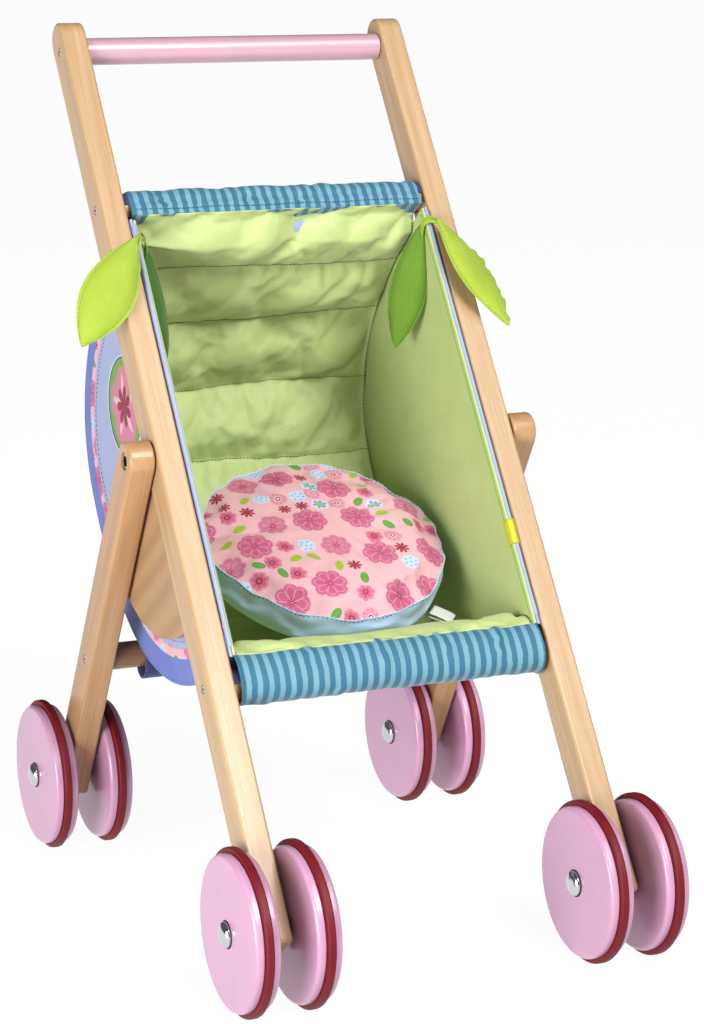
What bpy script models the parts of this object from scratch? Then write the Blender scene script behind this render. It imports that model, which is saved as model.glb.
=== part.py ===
"""Doll stroller: beech frame on eight wooden wheels, folding rear legs and a sewn pouch seat.

Metres, +Z up. The seat faces -Y, the handle is at the top towards +Y, and X is the width.
The origin is on the ground under the middle of the stroller's box. Left is -X.
"""
import math

import bmesh
import bpy
from mathutils import Matrix, Vector

MM = 0.001
GAP = 0.3 * MM  # air between solids that touch on the real object

# Wheels
WHEEL_RADIUS = 51 * MM  # to the outside of the tyre
WHEEL_WIDTH = 16.5 * MM
DISC_RADIUS = 47.5 * MM
TYRE_WIDTH = 5.6 * MM
GROOVE_DEPTH = 3.5 * MM
WHEEL_STEPS = 24
SPACER = 2.5 * MM  # washer between a wheel and the wood
AXLE_RADIUS = 3 * MM
RUNNING_FIT = 0.4 * MM  # radial air round an axle, a bolt or a screw
HUB_RADIUS = 8 * MM
HUB_HEIGHT = 4.5 * MM
HUB_GRIP = 3 * MM  # how far an axle's end reaches into its pressed-on hub

# Side beams and rear legs
BEAM_X = 115.5 * MM  # a beam's centre, from the middle of the stroller
BAR_THICK = 17 * MM
BAR_DEPTH = 24.5 * MM
EDGE_ROUND = 1.8 * MM
LEG_GAP = 1 * MM  # between a leg and its beam
TILT = math.radians(36.85)  # the beams lean back from upright
WHEELBASE = 323 * MM
PAST_AXLE = 13.0 * MM  # wood below each axle
FOOT_ROUND = 3 * MM  # corner radius of the bars' lower ends

# Places along the beams, measured from the front axle
BEAM_TOP_AT = 631 * MM
HANDLE_AT = 610.5 * MM
TOP_BAR_AT = 489 * MM
PIVOT_AT = 309 * MM
FRONT_BAR_AT = 153 * MM
CROSSBAR_AT = 109 * MM  # along the legs, from the rear axle

# Dowels and fastenings
DOWEL_RADIUS = 9 * MM
DOWEL_STEPS = 16
SCREW_HEAD_RADIUS = 2.6 * MM
SCREW_HEAD_HEIGHT = 1.7 * MM
SCREW_RADIUS = 1.5 * MM
SCREW_GRIP = 18 * MM  # how far a screw reaches into its dowel
BOLT_HEAD_RADIUS = 5.4 * MM
BOLT_HEAD_HEIGHT = 4 * MM
SOCKET_RADIUS = 2.6 * MM
SOCKET_DEPTH = 2.6 * MM
NUT_RADIUS = 4.6 * MM
NUT_HEIGHT = 4 * MM
WASHER_RADIUS = 9 * MM
GUARD_RADIUS = 114 * MM
GUARD_THICK = 5 * MM
GUARD_RECESS = 1 * MM  # from the beam's outer face to the plate's

# Pouch, in the beams' frame: along the beams, and square to them
POUCH_FRONT = -12 * MM  # the panels' straight edge
POUCH_WIDEST_AT = 347 * MM
POUCH_DEPTH = 186 * MM
POUCH_ABOVE = 128 * MM  # from the deepest point up to the top corner
POUCH_BELOW = 179 * MM
POUCH_POWER_ABOVE = 2.4
POUCH_POWER_BELOW = 2.3
POUCH_STEPS = 30
PANEL_THICK = 4 * MM
PANEL_GAP = 0.8 * MM  # between a panel and its beam
LINER_INSET = 3 * MM
LINER_THICK = 6 * MM
CASING_HALF_LENGTH = 103 * MM
TOP_CASING_RADIUS = 13 * MM
FRONT_CASING_RADIUS = 14.5 * MM

# Strap round the crossbar
STRAP_THICK = 1.6 * MM
STRAP_DROP = 7 * MM  # how far the loop hangs below the bar

# Cushion
CUSHION_RADIUS = 82 * MM
CUSHION_THICK = 46 * MM
CUSHION_STEPS = 28
CUSHION_TILT = math.radians(24.7)
CUSHION_CENTRE = Vector((8, 86, 264.5)) * MM  # in the beams' frame

# Leaves
LEAF_LENGTH = 90 * MM
LEAF_WIDTH = 44 * MM
INNER_LEAF_WIDTH = 34 * MM
LEAF_THICK = 4 * MM

# Worked-out sizes
BEAM_INNER = BEAM_X - BAR_THICK / 2
BEAM_OUTER = BEAM_X + BAR_THICK / 2
LEG_X = BEAM_X + BAR_THICK + LEG_GAP
LEG_INNER = LEG_X - BAR_THICK / 2
LEG_OUTER = LEG_X + BAR_THICK / 2
PIVOT_BACK = PIVOT_AT * math.sin(TILT)
PIVOT_UP = PIVOT_AT * math.cos(TILT)
LEG_LENGTH = math.hypot(WHEELBASE - PIVOT_BACK, PIVOT_UP)
LEG_LEAN = math.atan2(WHEELBASE - PIVOT_BACK, PIVOT_UP)
WHEEL_OFFSET = BAR_THICK / 2 + SPACER + WHEEL_WIDTH / 2
AXLE_HALF = WHEEL_OFFSET + WHEEL_WIDTH / 2
TYRE_CORNER = WHEEL_RADIUS / math.cos(math.pi / WHEEL_STEPS)  # flats, not corners, reach the ground
BEAM_TOP_REACH = (BEAM_TOP_AT - BAR_DEPTH / 2) * math.sin(TILT) + BAR_DEPTH / 2
# The box runs from the front tyres to the beams' top ends, and its middle is above the origin.
FRONT_AXLE = Vector((0, (TYRE_CORNER - BEAM_TOP_REACH) / 2, WHEEL_RADIUS))
PANEL_X = BEAM_INNER - PANEL_GAP - PANEL_THICK / 2
LINER_HALF_WIDTH = PANEL_X - PANEL_THICK / 2 - GAP

SIDES = {"left": -1, "right": 1}
SIDE_TURN = Matrix.Rotation(math.pi / 2, 4, "Z") @ Matrix.Rotation(math.pi / 2, 4, "X")

FINISHES = {  # colour, roughness, metallic
    "beech": ("D9AE7C", 0.5, 0.0),
    "plywood": ("D3A36F", 0.55, 0.0),
    "pink_paint": ("E9A9CC", 0.35, 0.0),
    "rubber": ("8E1F2C", 0.55, 0.0),
    "chrome": ("D8DADC", 0.15, 1.0),
    "steel": ("B4B6B8", 0.3, 1.0),
    "green_cloth": ("AECB6E", 0.85, 0.0),
    "lavender_cloth": ("A9B4E6", 0.85, 0.0),
    "striped_cloth": ("5FB2CC", 0.8, 0.0),
    "navy_tape": ("2E3558", 0.9, 0.0),
    "flower_cloth": ("F5BFCB", 0.8, 0.0),
    "lime_cloth": ("BCD84A", 0.85, 0.0),
    "leaf_cloth": ("5FA02E", 0.85, 0.0),
}


def clear_scene():
    """Remove every object that the file opened with."""
    for old in list(bpy.data.objects):
        bpy.data.objects.remove(old, do_unlink=True)


def make_collection(name, hidden=False):
    """Add a collection to the scene."""
    made = bpy.data.collections.new(name)
    bpy.context.scene.collection.children.link(made)
    made.hide_render = hidden
    return made


def linear(channel):
    """Turn one sRGB channel into its linear value."""
    return channel / 12.92 if channel <= 0.04045 else ((channel + 0.055) / 1.055) ** 2.4


def finish(piece, key):
    """Give a piece its own material of a named finish."""
    colour, roughness, metallic = FINISHES[key]
    rgb = [linear(int(colour[i:i + 2], 16) / 255) for i in (0, 2, 4)]
    made = bpy.data.materials.new(f"{piece.name}_{key}")
    made.use_nodes = True
    shader = made.node_tree.nodes["Principled BSDF"]
    shader.inputs["Base Color"].default_value = (*rgb, 1)
    shader.inputs["Roughness"].default_value = roughness
    shader.inputs["Metallic"].default_value = metallic
    made.diffuse_color = (*rgb, 1)
    piece.data.materials.append(made)


def frame_empty(name, location, lean):
    """Add an empty whose +Z runs along a bar that leans by an angle about X."""
    made = bpy.data.objects.new(name, None)
    made.location = location
    made.rotation_euler = (lean, 0, 0)
    PARTS.objects.link(made)
    return made


def add_piece(name, mesh, parent, place, key):
    """Link a mesh as a named part under a frame."""
    made = bpy.data.objects.new(name, mesh)
    PARTS.objects.link(made)
    made.parent = parent
    made.matrix_local = place
    finish(made, key)
    return made


def turned_mesh(name, profile, steps, closed):
    """Make a profile of (radius, height) points, turned half a step so that flats face the axes."""
    mesh = bpy.data.meshes.new(name)
    half = math.pi / steps
    points = [(r * math.cos(half), r * math.sin(half), h) for r, h in profile]
    links = [(i, i + 1) for i in range(len(points) - 1)]
    if closed:
        links.append((len(points) - 1, 0))
    mesh.from_pydata(points, links, [])
    return mesh


def spin(piece, steps):
    """Turn a piece's profile about its own Z axis."""
    screw = piece.modifiers.new("turn", "SCREW")
    screw.steps = steps
    screw.render_steps = steps
    screw.use_merge_vertices = True
    screw.merge_threshold = 0.02 * MM
    screw.use_smooth_shade = True


def along_x(x, along=0, side=1, level=0):
    """Place a turned piece in a bar's frame, with its own +Z pointing to the given side.

    The level angle takes the bar's lean out of the piece, as a wheel's flats need.
    """
    turn = Matrix.Rotation(-level, 4, "X") @ Matrix.Rotation(side * math.pi / 2, 4, "Y")
    return Matrix.Translation((x, 0, along)) @ turn


def turned(name, profile, place, parent, key, steps=12, closed=False):
    """Make a turned part from its profile, which runs down its outer side."""
    made = add_piece(name, turned_mesh(name, profile, steps, closed), parent, place, key)
    spin(made, steps)
    return made


def outline_mesh(name, outlines, thickness):
    """Make a flat shape of one or more closed outlines, in (square, along) of a bar's frame."""
    curve = bpy.data.curves.new(name, "CURVE")
    curve.dimensions = "2D"
    curve.fill_mode = "BOTH"
    curve.extrude = thickness / 2
    for outline in outlines:
        spline = curve.splines.new("POLY")
        spline.points.add(len(outline) - 1)
        for point, (across, up) in zip(spline.points, outline):
            point.co = (across, up, 0, 1)
        spline.use_cyclic_u = True
    guide = bpy.data.objects.new(name + "_guide", curve)
    CUTTERS.objects.link(guide)
    guide.matrix_world = SIDE_TURN
    seen = guide.evaluated_get(bpy.context.evaluated_depsgraph_get())
    mesh = bpy.data.meshes.new_from_object(seen)
    mesh.transform(SIDE_TURN)
    bpy.data.objects.remove(guide, do_unlink=True)
    work = bmesh.new()
    work.from_mesh(mesh)
    bmesh.ops.remove_doubles(work, verts=work.verts, dist=0.01 * MM)
    bmesh.ops.recalc_face_normals(work, faces=work.faces)
    work.to_mesh(mesh)
    work.free()
    mesh.name = name
    return mesh


def soften(piece, width, segments=1):
    """Round a piece's sharp edges."""
    bevel = piece.modifiers.new("soften", "BEVEL")
    bevel.width = width
    bevel.segments = segments
    bevel.limit_method = "ANGLE"
    bevel.angle_limit = math.radians(60)


def bore(piece, profile, place, parent, steps=12):
    """Cut a turned hole in a piece."""
    cutter = bpy.data.objects.new(f"{piece.name}_cutter", turned_mesh("cutter", profile, steps, False))
    CUTTERS.objects.link(cutter)
    cutter.parent = parent
    cutter.matrix_local = place
    cutter.hide_render = True
    cutter.display_type = "WIRE"
    spin(cutter, steps)
    cut = piece.modifiers.new("bore", "BOOLEAN")
    cut.operation = "DIFFERENCE"
    cut.solver = "EXACT"
    cut.object = cutter


def arc(centre, radius, start, end, steps):
    """List points on an arc, with angles in degrees."""
    points = []
    for step in range(steps + 1):
        angle = math.radians(start + (end - start) * step / steps)
        points.append((centre[0] + radius * math.cos(angle), centre[1] + radius * math.sin(angle)))
    return points


def bar_outline(top):
    """Outline a bar in side view: a half-round top, and a foot with small round corners."""
    half = BAR_DEPTH / 2
    foot = -PAST_AXLE + FOOT_ROUND
    inset = half - FOOT_ROUND
    return (
        arc((0, top - half), half, 0, 180, 10)
        + arc((-inset, foot), FOOT_ROUND, 180, 270, 3)
        + arc((inset, foot), FOOT_ROUND, 270, 360, 3)
    )


def stepped_hole(head_radius, shoulder, radius, near, far):
    """Profile of a through hole with a wider mouth, in metres from the bar's centre plane."""
    return [
        (0, near), (head_radius, near), (head_radius, shoulder),
        (radius, shoulder), (radius, far), (0, far),
    ]


def dowel_profile(half_length):
    """Profile of a dowel with a pilot hole in each end."""
    pilot = SCREW_RADIUS + RUNNING_FIT
    depth = half_length - SCREW_GRIP - 2 * GAP
    return [
        (0, depth), (pilot, depth), (pilot, half_length), (DOWEL_RADIUS, half_length),
        (DOWEL_RADIUS, -half_length), (pilot, -half_length), (pilot, -depth), (0, -depth),
    ]


def screw_hole_profile():
    """Profile of the hole that takes a screw's head and shank through a bar."""
    half = BAR_THICK / 2
    return stepped_hole(
        SCREW_HEAD_RADIUS + RUNNING_FIT, half - SCREW_HEAD_HEIGHT - 2 * GAP,
        SCREW_RADIUS + RUNNING_FIT, half + 2 * MM, -half - 2 * MM,
    )


def axle_hole_profile():
    """Profile of the hole that takes an axle through a bar."""
    reach = BAR_THICK / 2 + 2 * MM
    radius = AXLE_RADIUS + RUNNING_FIT
    return [(0, reach), (radius, reach), (radius, -reach), (0, -reach)]


def build_beams():
    """Make the two side beams, bored for their screws, pivots and axles."""
    half = BAR_THICK / 2
    for label, side in SIDES.items():
        x = side * BEAM_X
        mesh = outline_mesh(f"beam_{label}", [bar_outline(BEAM_TOP_AT)], BAR_THICK)
        beam = add_piece(f"beam_{label}", mesh, BEAMS, Matrix.Translation((x, 0, 0)), "beech")
        soften(beam, EDGE_ROUND)
        for at in (HANDLE_AT, TOP_BAR_AT, FRONT_BAR_AT):
            bore(beam, screw_hole_profile(), along_x(x, at, side=side), BEAMS)
        nut_hole = stepped_hole(
            NUT_RADIUS + RUNNING_FIT, half - NUT_HEIGHT - GAP,
            AXLE_RADIUS + RUNNING_FIT, half + 2 * MM, -half - 2 * MM,
        )
        bore(beam, nut_hole, along_x(x, PIVOT_AT, side=-side), BEAMS)
        bore(beam, axle_hole_profile(), along_x(x, side=side), BEAMS)


def build_legs():
    """Make the two rear legs, bored for the pivot, the crossbar's screw and the axle."""
    half = BAR_THICK / 2
    for label, side in SIDES.items():
        x = side * LEG_X
        outline = bar_outline(LEG_LENGTH + BAR_DEPTH / 2)
        mesh = outline_mesh(f"rear_leg_{label}", [outline], BAR_THICK)
        place = Matrix.Translation((x, 0, -LEG_LENGTH))
        leg = add_piece(f"rear_leg_{label}", mesh, LEGS, place, "beech")
        soften(leg, EDGE_ROUND)
        head_hole = stepped_hole(
            BOLT_HEAD_RADIUS + RUNNING_FIT, half - BOLT_HEAD_HEIGHT - 1 * MM,
            AXLE_RADIUS + RUNNING_FIT, half + 2 * MM, -half - 2 * MM,
        )
        bore(leg, head_hole, along_x(x, side=side), LEGS)
        bore(leg, screw_hole_profile(), along_x(x, CROSSBAR_AT - LEG_LENGTH, side=side), LEGS)
        bore(leg, axle_hole_profile(), along_x(x, -LEG_LENGTH, side=side), LEGS)


def build_dowels():
    """Make the handle, the two bars that hold the pouch, and the crossbar between the legs."""
    between_beams = BEAM_INNER - GAP
    for name, at, key in (
        ("handle_bar", HANDLE_AT, "pink_paint"),
        ("top_bar", TOP_BAR_AT, "beech"),
        ("front_bar", FRONT_BAR_AT, "beech"),
    ):
        turned(name, dowel_profile(between_beams), along_x(0, at), BEAMS, key, DOWEL_STEPS)
    place = along_x(0, CROSSBAR_AT - LEG_LENGTH)
    turned("rear_crossbar", dowel_profile(LEG_INNER - GAP), place, LEGS, "beech", DOWEL_STEPS)


def screw_profile():
    """Profile of a screw whose head lies just under a bar's outer face, about the bar's middle."""
    top = BAR_THICK / 2 - GAP
    neck = top - SCREW_HEAD_HEIGHT
    tip = -BAR_THICK / 2 - SCREW_GRIP
    return [
        (0, top), (SCREW_HEAD_RADIUS, top), (SCREW_HEAD_RADIUS, neck),
        (SCREW_RADIUS, neck), (SCREW_RADIUS, tip), (0, tip),
    ]


def build_screws():
    """Make the screws that hold the four dowels."""
    for label, side in SIDES.items():
        for name, at in (("handle", HANDLE_AT), ("top_bar", TOP_BAR_AT), ("front_bar", FRONT_BAR_AT)):
            place = along_x(side * BEAM_X, at, side=side)
            turned(f"{name}_screw_{label}", screw_profile(), place, BEAMS, "steel")
        place = along_x(side * LEG_X, CROSSBAR_AT - LEG_LENGTH, side=side)
        turned(f"crossbar_screw_{label}", screw_profile(), place, LEGS, "steel")


def build_pivots():
    """Make each pivot's socket bolt, its washer between leg and beam, and its nut."""
    for label, side in SIDES.items():
        top = LEG_OUTER - 1 * MM
        neck = top - BOLT_HEAD_HEIGHT
        tip = BEAM_INNER + GAP
        bolt = [
            (0, top - SOCKET_DEPTH), (SOCKET_RADIUS, top - SOCKET_DEPTH), (SOCKET_RADIUS, top),
            (BOLT_HEAD_RADIUS, top), (BOLT_HEAD_RADIUS, neck), (AXLE_RADIUS, neck),
            (AXLE_RADIUS, tip), (0, tip),
        ]
        place = along_x(0, PIVOT_AT, side=side)
        turned(f"pivot_bolt_{label}", bolt, place, BEAMS, "chrome")
        bore_radius = AXLE_RADIUS + RUNNING_FIT
        high = LEG_INNER - GAP
        low = BEAM_OUTER + GAP
        washer = [(bore_radius, high), (WASHER_RADIUS, high), (WASHER_RADIUS, low), (bore_radius, low)]
        turned(f"pivot_washer_{label}", washer, place, BEAMS, "steel", closed=True)
        high = BEAM_INNER + NUT_HEIGHT
        low = BEAM_INNER
        nut = [(bore_radius, high), (NUT_RADIUS, high), (NUT_RADIUS, low), (bore_radius, low)]
        turned(f"pivot_nut_{label}", nut, place, BEAMS, "chrome", closed=True)


def disc_profile():
    """Profile of a wheel's wooden disc: a bore, soft rims, and a groove for the tyre."""
    half = WHEEL_WIDTH / 2
    groove = TYRE_WIDTH / 2
    bored = AXLE_RADIUS + RUNNING_FIT
    shoulder = DISC_RADIUS - 3.2 * MM
    edge = half - 2.6 * MM
    return [
        (bored, half), (shoulder, half), (DISC_RADIUS, edge), (DISC_RADIUS, groove),
        (DISC_RADIUS - GROOVE_DEPTH, groove), (DISC_RADIUS - GROOVE_DEPTH, -groove),
        (DISC_RADIUS, -groove), (DISC_RADIUS, -edge), (shoulder, -half), (bored, -half),
    ]


def tyre_profile():
    """Profile of a tyre that fills its groove and stands proud of the disc."""
    half = TYRE_WIDTH / 2 - GAP
    seat = (DISC_RADIUS - GROOVE_DEPTH) / math.cos(math.pi / WHEEL_STEPS) + GAP
    crown = 1 * MM
    return [
        (seat, half), (TYRE_CORNER - crown, half), (TYRE_CORNER, half - crown),
        (TYRE_CORNER, crown - half), (TYRE_CORNER - crown, -half), (seat, -half),
    ]


def axle_profile():
    """Profile of an axle with one domed hub in one piece with it."""
    face = AXLE_HALF + GAP
    return [
        (0, face + HUB_HEIGHT), (HUB_RADIUS * 0.55, face + HUB_HEIGHT * 0.85),
        (HUB_RADIUS * 0.9, face + HUB_HEIGHT * 0.4), (HUB_RADIUS, face), (AXLE_RADIUS, face),
        (AXLE_RADIUS, -face - HUB_GRIP), (0, -face - HUB_GRIP),
    ]


def cap_profile():
    """Profile of the domed hub that is pressed on an axle's plain end."""
    face = AXLE_HALF + GAP
    grip = AXLE_RADIUS + GAP
    floor = face + HUB_GRIP + GAP
    return [
        (0, face + HUB_HEIGHT), (HUB_RADIUS * 0.55, face + HUB_HEIGHT * 0.85),
        (HUB_RADIUS * 0.9, face + HUB_HEIGHT * 0.4), (HUB_RADIUS, face),
        (grip, face), (grip, floor), (0, floor),
    ]


def build_wheels():
    """Make the four axles with their hubs, and the wheels on each side of every bar."""
    for row, parent, lean, along, bar_x in (
        ("front", BEAMS, -TILT, 0, BEAM_X),
        ("rear", LEGS, LEG_LEAN, -LEG_LENGTH, LEG_X),
    ):
        for label, side in SIDES.items():
            x = side * bar_x
            corner = f"{row}_{label}"
            turned(f"axle_{corner}", axle_profile(), along_x(x, along, side=side), parent, "chrome")
            place = along_x(x, along, side=-side)
            turned(f"hub_{corner}", cap_profile(), place, parent, "chrome")
            for spot, shift in (("outer", WHEEL_OFFSET), ("inner", -WHEEL_OFFSET)):
                place = along_x(side * (bar_x + shift), along, level=lean)
                turned(
                    f"wheel_{corner}_{spot}", disc_profile(), place, parent, "pink_paint",
                    WHEEL_STEPS, closed=True,
                )
                turned(
                    f"tyre_{corner}_{spot}", tyre_profile(), place, parent, "rubber",
                    WHEEL_STEPS, closed=True,
                )


def build_guards():
    """Make the plywood sectors that close the pinch between each beam and leg."""
    near = BAR_DEPTH / 2 + GAP
    start = -math.degrees(math.acos(near / GUARD_RADIUS))
    end = math.degrees(TILT + LEG_LEAN) - 90
    rim = arc((0, PIVOT_AT), GUARD_RADIUS, start, end, 10)
    outline = rim + [(near, PIVOT_AT - 4 * MM)]
    x = BEAM_OUTER - GUARD_RECESS - GUARD_THICK / 2
    for label, side in SIDES.items():
        mesh = outline_mesh(f"guard_plate_{label}", [outline], GUARD_THICK)
        place = Matrix.Translation((side * x, 0, 0))
        add_piece(f"guard_plate_{label}", mesh, BEAMS, place, "plywood")


def pouch_curve(inset):
    """List points on the pouch's curved edge, from its top corner round to its lower corner."""
    points = []
    for step in range(POUCH_STEPS + 1):
        angle = math.pi * step / POUCH_STEPS
        if angle < math.pi / 2:
            reach, power = POUCH_ABOVE, POUCH_POWER_ABOVE
        else:
            reach, power = POUCH_BELOW, POUCH_POWER_BELOW
        rise = math.copysign(abs(math.cos(angle)) ** (2 / power), math.cos(angle))
        depth = abs(math.sin(angle)) ** (2 / power) if 0 < step < POUCH_STEPS else 0
        square = POUCH_FRONT + (POUCH_DEPTH - inset) * depth
        points.append((square, POUCH_WIDEST_AT + (reach - inset) * rise))
    return points


def build_pouch():
    """Make the pouch: two stiff side panels, and one sheet round their curved edges."""
    for label, side in SIDES.items():
        mesh = outline_mesh(f"side_panel_{label}", [pouch_curve(0)], PANEL_THICK)
        place = Matrix.Translation((side * PANEL_X, 0, 0))
        add_piece(f"side_panel_{label}", mesh, BEAMS, place, "lavender_cloth")
    inner = pouch_curve(LINER_INSET + LINER_THICK)
    outline = pouch_curve(LINER_INSET) + inner[::-1]
    mesh = outline_mesh("seat_liner", [outline], 2 * LINER_HALF_WIDTH)
    add_piece("seat_liner", mesh, BEAMS, Matrix(), "green_cloth")


def build_casings():
    """Make the gathered fabric casings on the pouch's two bars."""
    inner = DOWEL_RADIUS + GAP
    high = CASING_HALF_LENGTH
    for name, at, outer in (
        ("top_casing", TOP_BAR_AT, TOP_CASING_RADIUS),
        ("front_casing", FRONT_BAR_AT, FRONT_CASING_RADIUS),
    ):
        profile = [(inner, high), (outer, high), (outer, -high), (inner, -high)]
        turned(name, profile, along_x(0, at), BEAMS, "striped_cloth", DOWEL_STEPS, closed=True)


def build_strap():
    """Make the strap's loop, which wraps the crossbar and hangs a little below it."""
    inner = DOWEL_RADIUS + GAP
    outer = inner + STRAP_THICK

    def loop(radius):
        return arc((0, 0), radius, 0, 180, 8) + arc((0, -STRAP_DROP), radius, 180, 360, 8)

    turn = Matrix.Rotation(-LEG_LEAN, 4, "X")  # the loop hangs straight down
    mesh = outline_mesh("rear_strap", [loop(outer), loop(inner)], 2 * CASING_HALF_LENGTH)
    place = Matrix.Translation((0, 0, CROSSBAR_AT - LEG_LENGTH)) @ turn
    add_piece("rear_strap", mesh, LEGS, place, "navy_tape")


def build_cushion():
    """Make the round cushion that lies in the seat, tipped towards the front."""
    half = CUSHION_THICK / 2
    profile = []
    for step in range(9):
        angle = math.pi * step / 8
        radius = CUSHION_RADIUS * math.sin(angle) ** 0.55 if 0 < step < 8 else 0
        profile.append((radius, half * math.cos(angle)))
    place = Matrix.Translation(CUSHION_CENTRE) @ Matrix.Rotation(TILT + CUSHION_TILT, 4, "X")
    turned("seat_cushion", profile, place, BEAMS, "flower_cloth", CUSHION_STEPS)


def leaf_mesh(name, width):
    """Make a flat leaf that hangs from the origin along -Z, pointed at both ends."""
    steps = 10
    edge = []
    for step in range(steps + 1):
        part = step / steps
        across = math.sin(math.pi * part ** 0.9) ** 0.8 if 0 < step < steps else 0
        edge.append((width / 2 * across, -LEAF_LENGTH * part))
    outline = edge + [(-across, up) for across, up in edge[-2:0:-1]]
    return outline_mesh(name, [outline], LEAF_THICK)


def hang_leaf(name, spot, key, width, lean=0, spread=0, face=0):
    """Hang a leaf from a spot in the beams' frame, turned by angles in degrees about X, Y and Z."""
    place = Matrix.Translation(Vector(spot) * MM)
    for angle, axis in ((lean, "X"), (spread, "Y"), (face, "Z")):
        place = place @ Matrix.Rotation(math.radians(angle), 4, axis)
    add_piece(name, leaf_mesh(name, width), BEAMS, place, key)


def build_leaves():
    """Hang an inner and an outer leaf over the front edge of each side panel, near its top."""
    front = -15  # the outer leaves lie on the beams' front faces
    upright = math.degrees(TILT)
    hang_leaf("leaf_outer_left", (-102, front, 456), "lime_cloth", LEAF_WIDTH, spread=39, face=90)
    hang_leaf("leaf_outer_right", (110, front, 460), "lime_cloth", LEAF_WIDTH, spread=-22, face=90)
    hang_leaf("leaf_inner_left", (-96, 7, 454), "leaf_cloth", INNER_LEAF_WIDTH, lean=8)
    hang_leaf(
        "leaf_inner_right", (86, 0, 460), "leaf_cloth", INNER_LEAF_WIDTH,
        lean=upright, spread=7, face=-65,
    )


clear_scene()
PARTS = make_collection("doll_stroller")
CUTTERS = make_collection("cutters", hidden=True)
BEAMS = frame_empty("beam_frame", FRONT_AXLE, -TILT)
PIVOT = FRONT_AXLE + Vector((0, PIVOT_BACK, PIVOT_UP))
LEGS = frame_empty("leg_frame", PIVOT, LEG_LEAN)
build_beams()
build_legs()
build_dowels()
build_screws()
build_pivots()
build_wheels()
build_guards()
build_pouch()
build_casings()
build_strap()
build_cushion()
build_leaves()
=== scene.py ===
"""Looks of the doll stroller: lacquered beech, painted wheels and a sewn pouch seat.

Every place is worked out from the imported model's own nodes. A piece is modelled in the frame of
the bar that carries it, where X is across the stroller, Y is square to the bar and Z runs up it,
and is then settled into the stroller's frame. Sizes are in metres.
"""
import logging
import math
from dataclasses import dataclass, field
from enum import Enum
from typing import Callable, Iterable, Sequence

import bmesh
import bpy
import numpy as np
from mathutils import Matrix, Vector, noise


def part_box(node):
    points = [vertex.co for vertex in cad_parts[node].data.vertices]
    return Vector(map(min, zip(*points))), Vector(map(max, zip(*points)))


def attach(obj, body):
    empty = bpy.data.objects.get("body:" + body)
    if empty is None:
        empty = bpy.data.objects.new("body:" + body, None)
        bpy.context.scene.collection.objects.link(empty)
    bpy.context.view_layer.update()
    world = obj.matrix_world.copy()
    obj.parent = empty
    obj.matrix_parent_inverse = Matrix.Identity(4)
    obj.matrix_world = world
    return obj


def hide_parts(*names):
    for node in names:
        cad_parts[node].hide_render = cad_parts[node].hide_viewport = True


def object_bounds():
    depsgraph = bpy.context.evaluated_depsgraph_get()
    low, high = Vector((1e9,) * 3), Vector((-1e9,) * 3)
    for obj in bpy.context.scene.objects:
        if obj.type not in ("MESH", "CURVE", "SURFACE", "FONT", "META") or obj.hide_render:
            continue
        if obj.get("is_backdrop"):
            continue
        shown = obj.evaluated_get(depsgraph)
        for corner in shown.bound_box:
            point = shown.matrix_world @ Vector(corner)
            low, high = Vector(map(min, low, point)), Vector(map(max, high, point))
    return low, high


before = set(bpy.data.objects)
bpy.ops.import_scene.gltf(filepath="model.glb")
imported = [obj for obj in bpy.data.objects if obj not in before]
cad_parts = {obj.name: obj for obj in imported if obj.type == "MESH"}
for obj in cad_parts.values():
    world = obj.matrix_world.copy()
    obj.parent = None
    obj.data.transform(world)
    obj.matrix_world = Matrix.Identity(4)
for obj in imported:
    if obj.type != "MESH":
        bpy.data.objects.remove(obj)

Piece = bpy.types.Object
Socket = bpy.types.NodeSocket
logging.basicConfig(level=logging.INFO, format="%(message)s")
LOG = logging.getLogger("doll_stroller")
MM = 0.001
CAD_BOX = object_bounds()
SIDES = {"left": -1, "right": 1}
ACROSS = Matrix.Rotation(math.pi / 2, 4, "Y")  # turns a piece's own Z to the stroller's X


# ---------------------------------------------------------------- small helpers

def linear(code: str) -> tuple[float, float, float, float]:
    """Turn six hex digits of sRGB into linear red, green and blue, with an alpha of 1."""
    channels = [int(code[i:i + 2], 16) / 255 for i in (0, 2, 4)]
    return (*[c / 12.92 if c <= 0.04045 else ((c + 0.055) / 1.055) ** 2.4 for c in channels], 1.0)


def wire(node: bpy.types.Node, values: dict) -> None:
    """Give a node's inputs, by name or number, their values or the sockets that feed them."""
    for key, value in values.items():
        if isinstance(value, Socket):
            node.id_data.links.new(value, node.inputs[key])
        else:
            node.inputs[key].default_value = value


def add_node(tree: bpy.types.NodeTree, kind: str, inputs: dict | None = None, out: int | str = 0,
             **settings) -> Socket:
    """Add a shader node with its settings and links.

    Args:
        tree: The material's node tree.
        kind: The node's type, without its ShaderNode prefix.
        inputs: Values or sockets for the node's inputs, by name or number.
        out: The output to hand back.
        **settings: Properties of the node itself.

    Returns:
        The chosen output socket; its node attribute gives the others.
    """
    node = tree.nodes.new("ShaderNode" + kind)
    for name, value in settings.items():
        setattr(node, name, value)
    wire(node, inputs or {})
    return node.outputs[out]


def calc(operation: str, *values: Socket | float) -> Socket:
    """Do arithmetic on values, at least one of which is a socket."""
    tree = next(value for value in values if isinstance(value, Socket)).id_data
    return add_node(tree, "Math", dict(enumerate(values)), operation=operation)


def vector(operation: str, *values: Socket | Sequence[float], out: str = "Vector") -> Socket:
    """Do vector arithmetic on values, the first of which is a socket."""
    return add_node(values[0].id_data, "VectorMath", dict(enumerate(values)), out, operation=operation)


def speckle(place: Socket, scale: float, detail: float = 2.0, **more: float) -> Socket:
    """Add noise with a number of blotches to the metre; more names further inputs."""
    return add_node(place.id_data, "TexNoise", {"Vector": place, "Scale": scale, "Detail": detail, **more})


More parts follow.
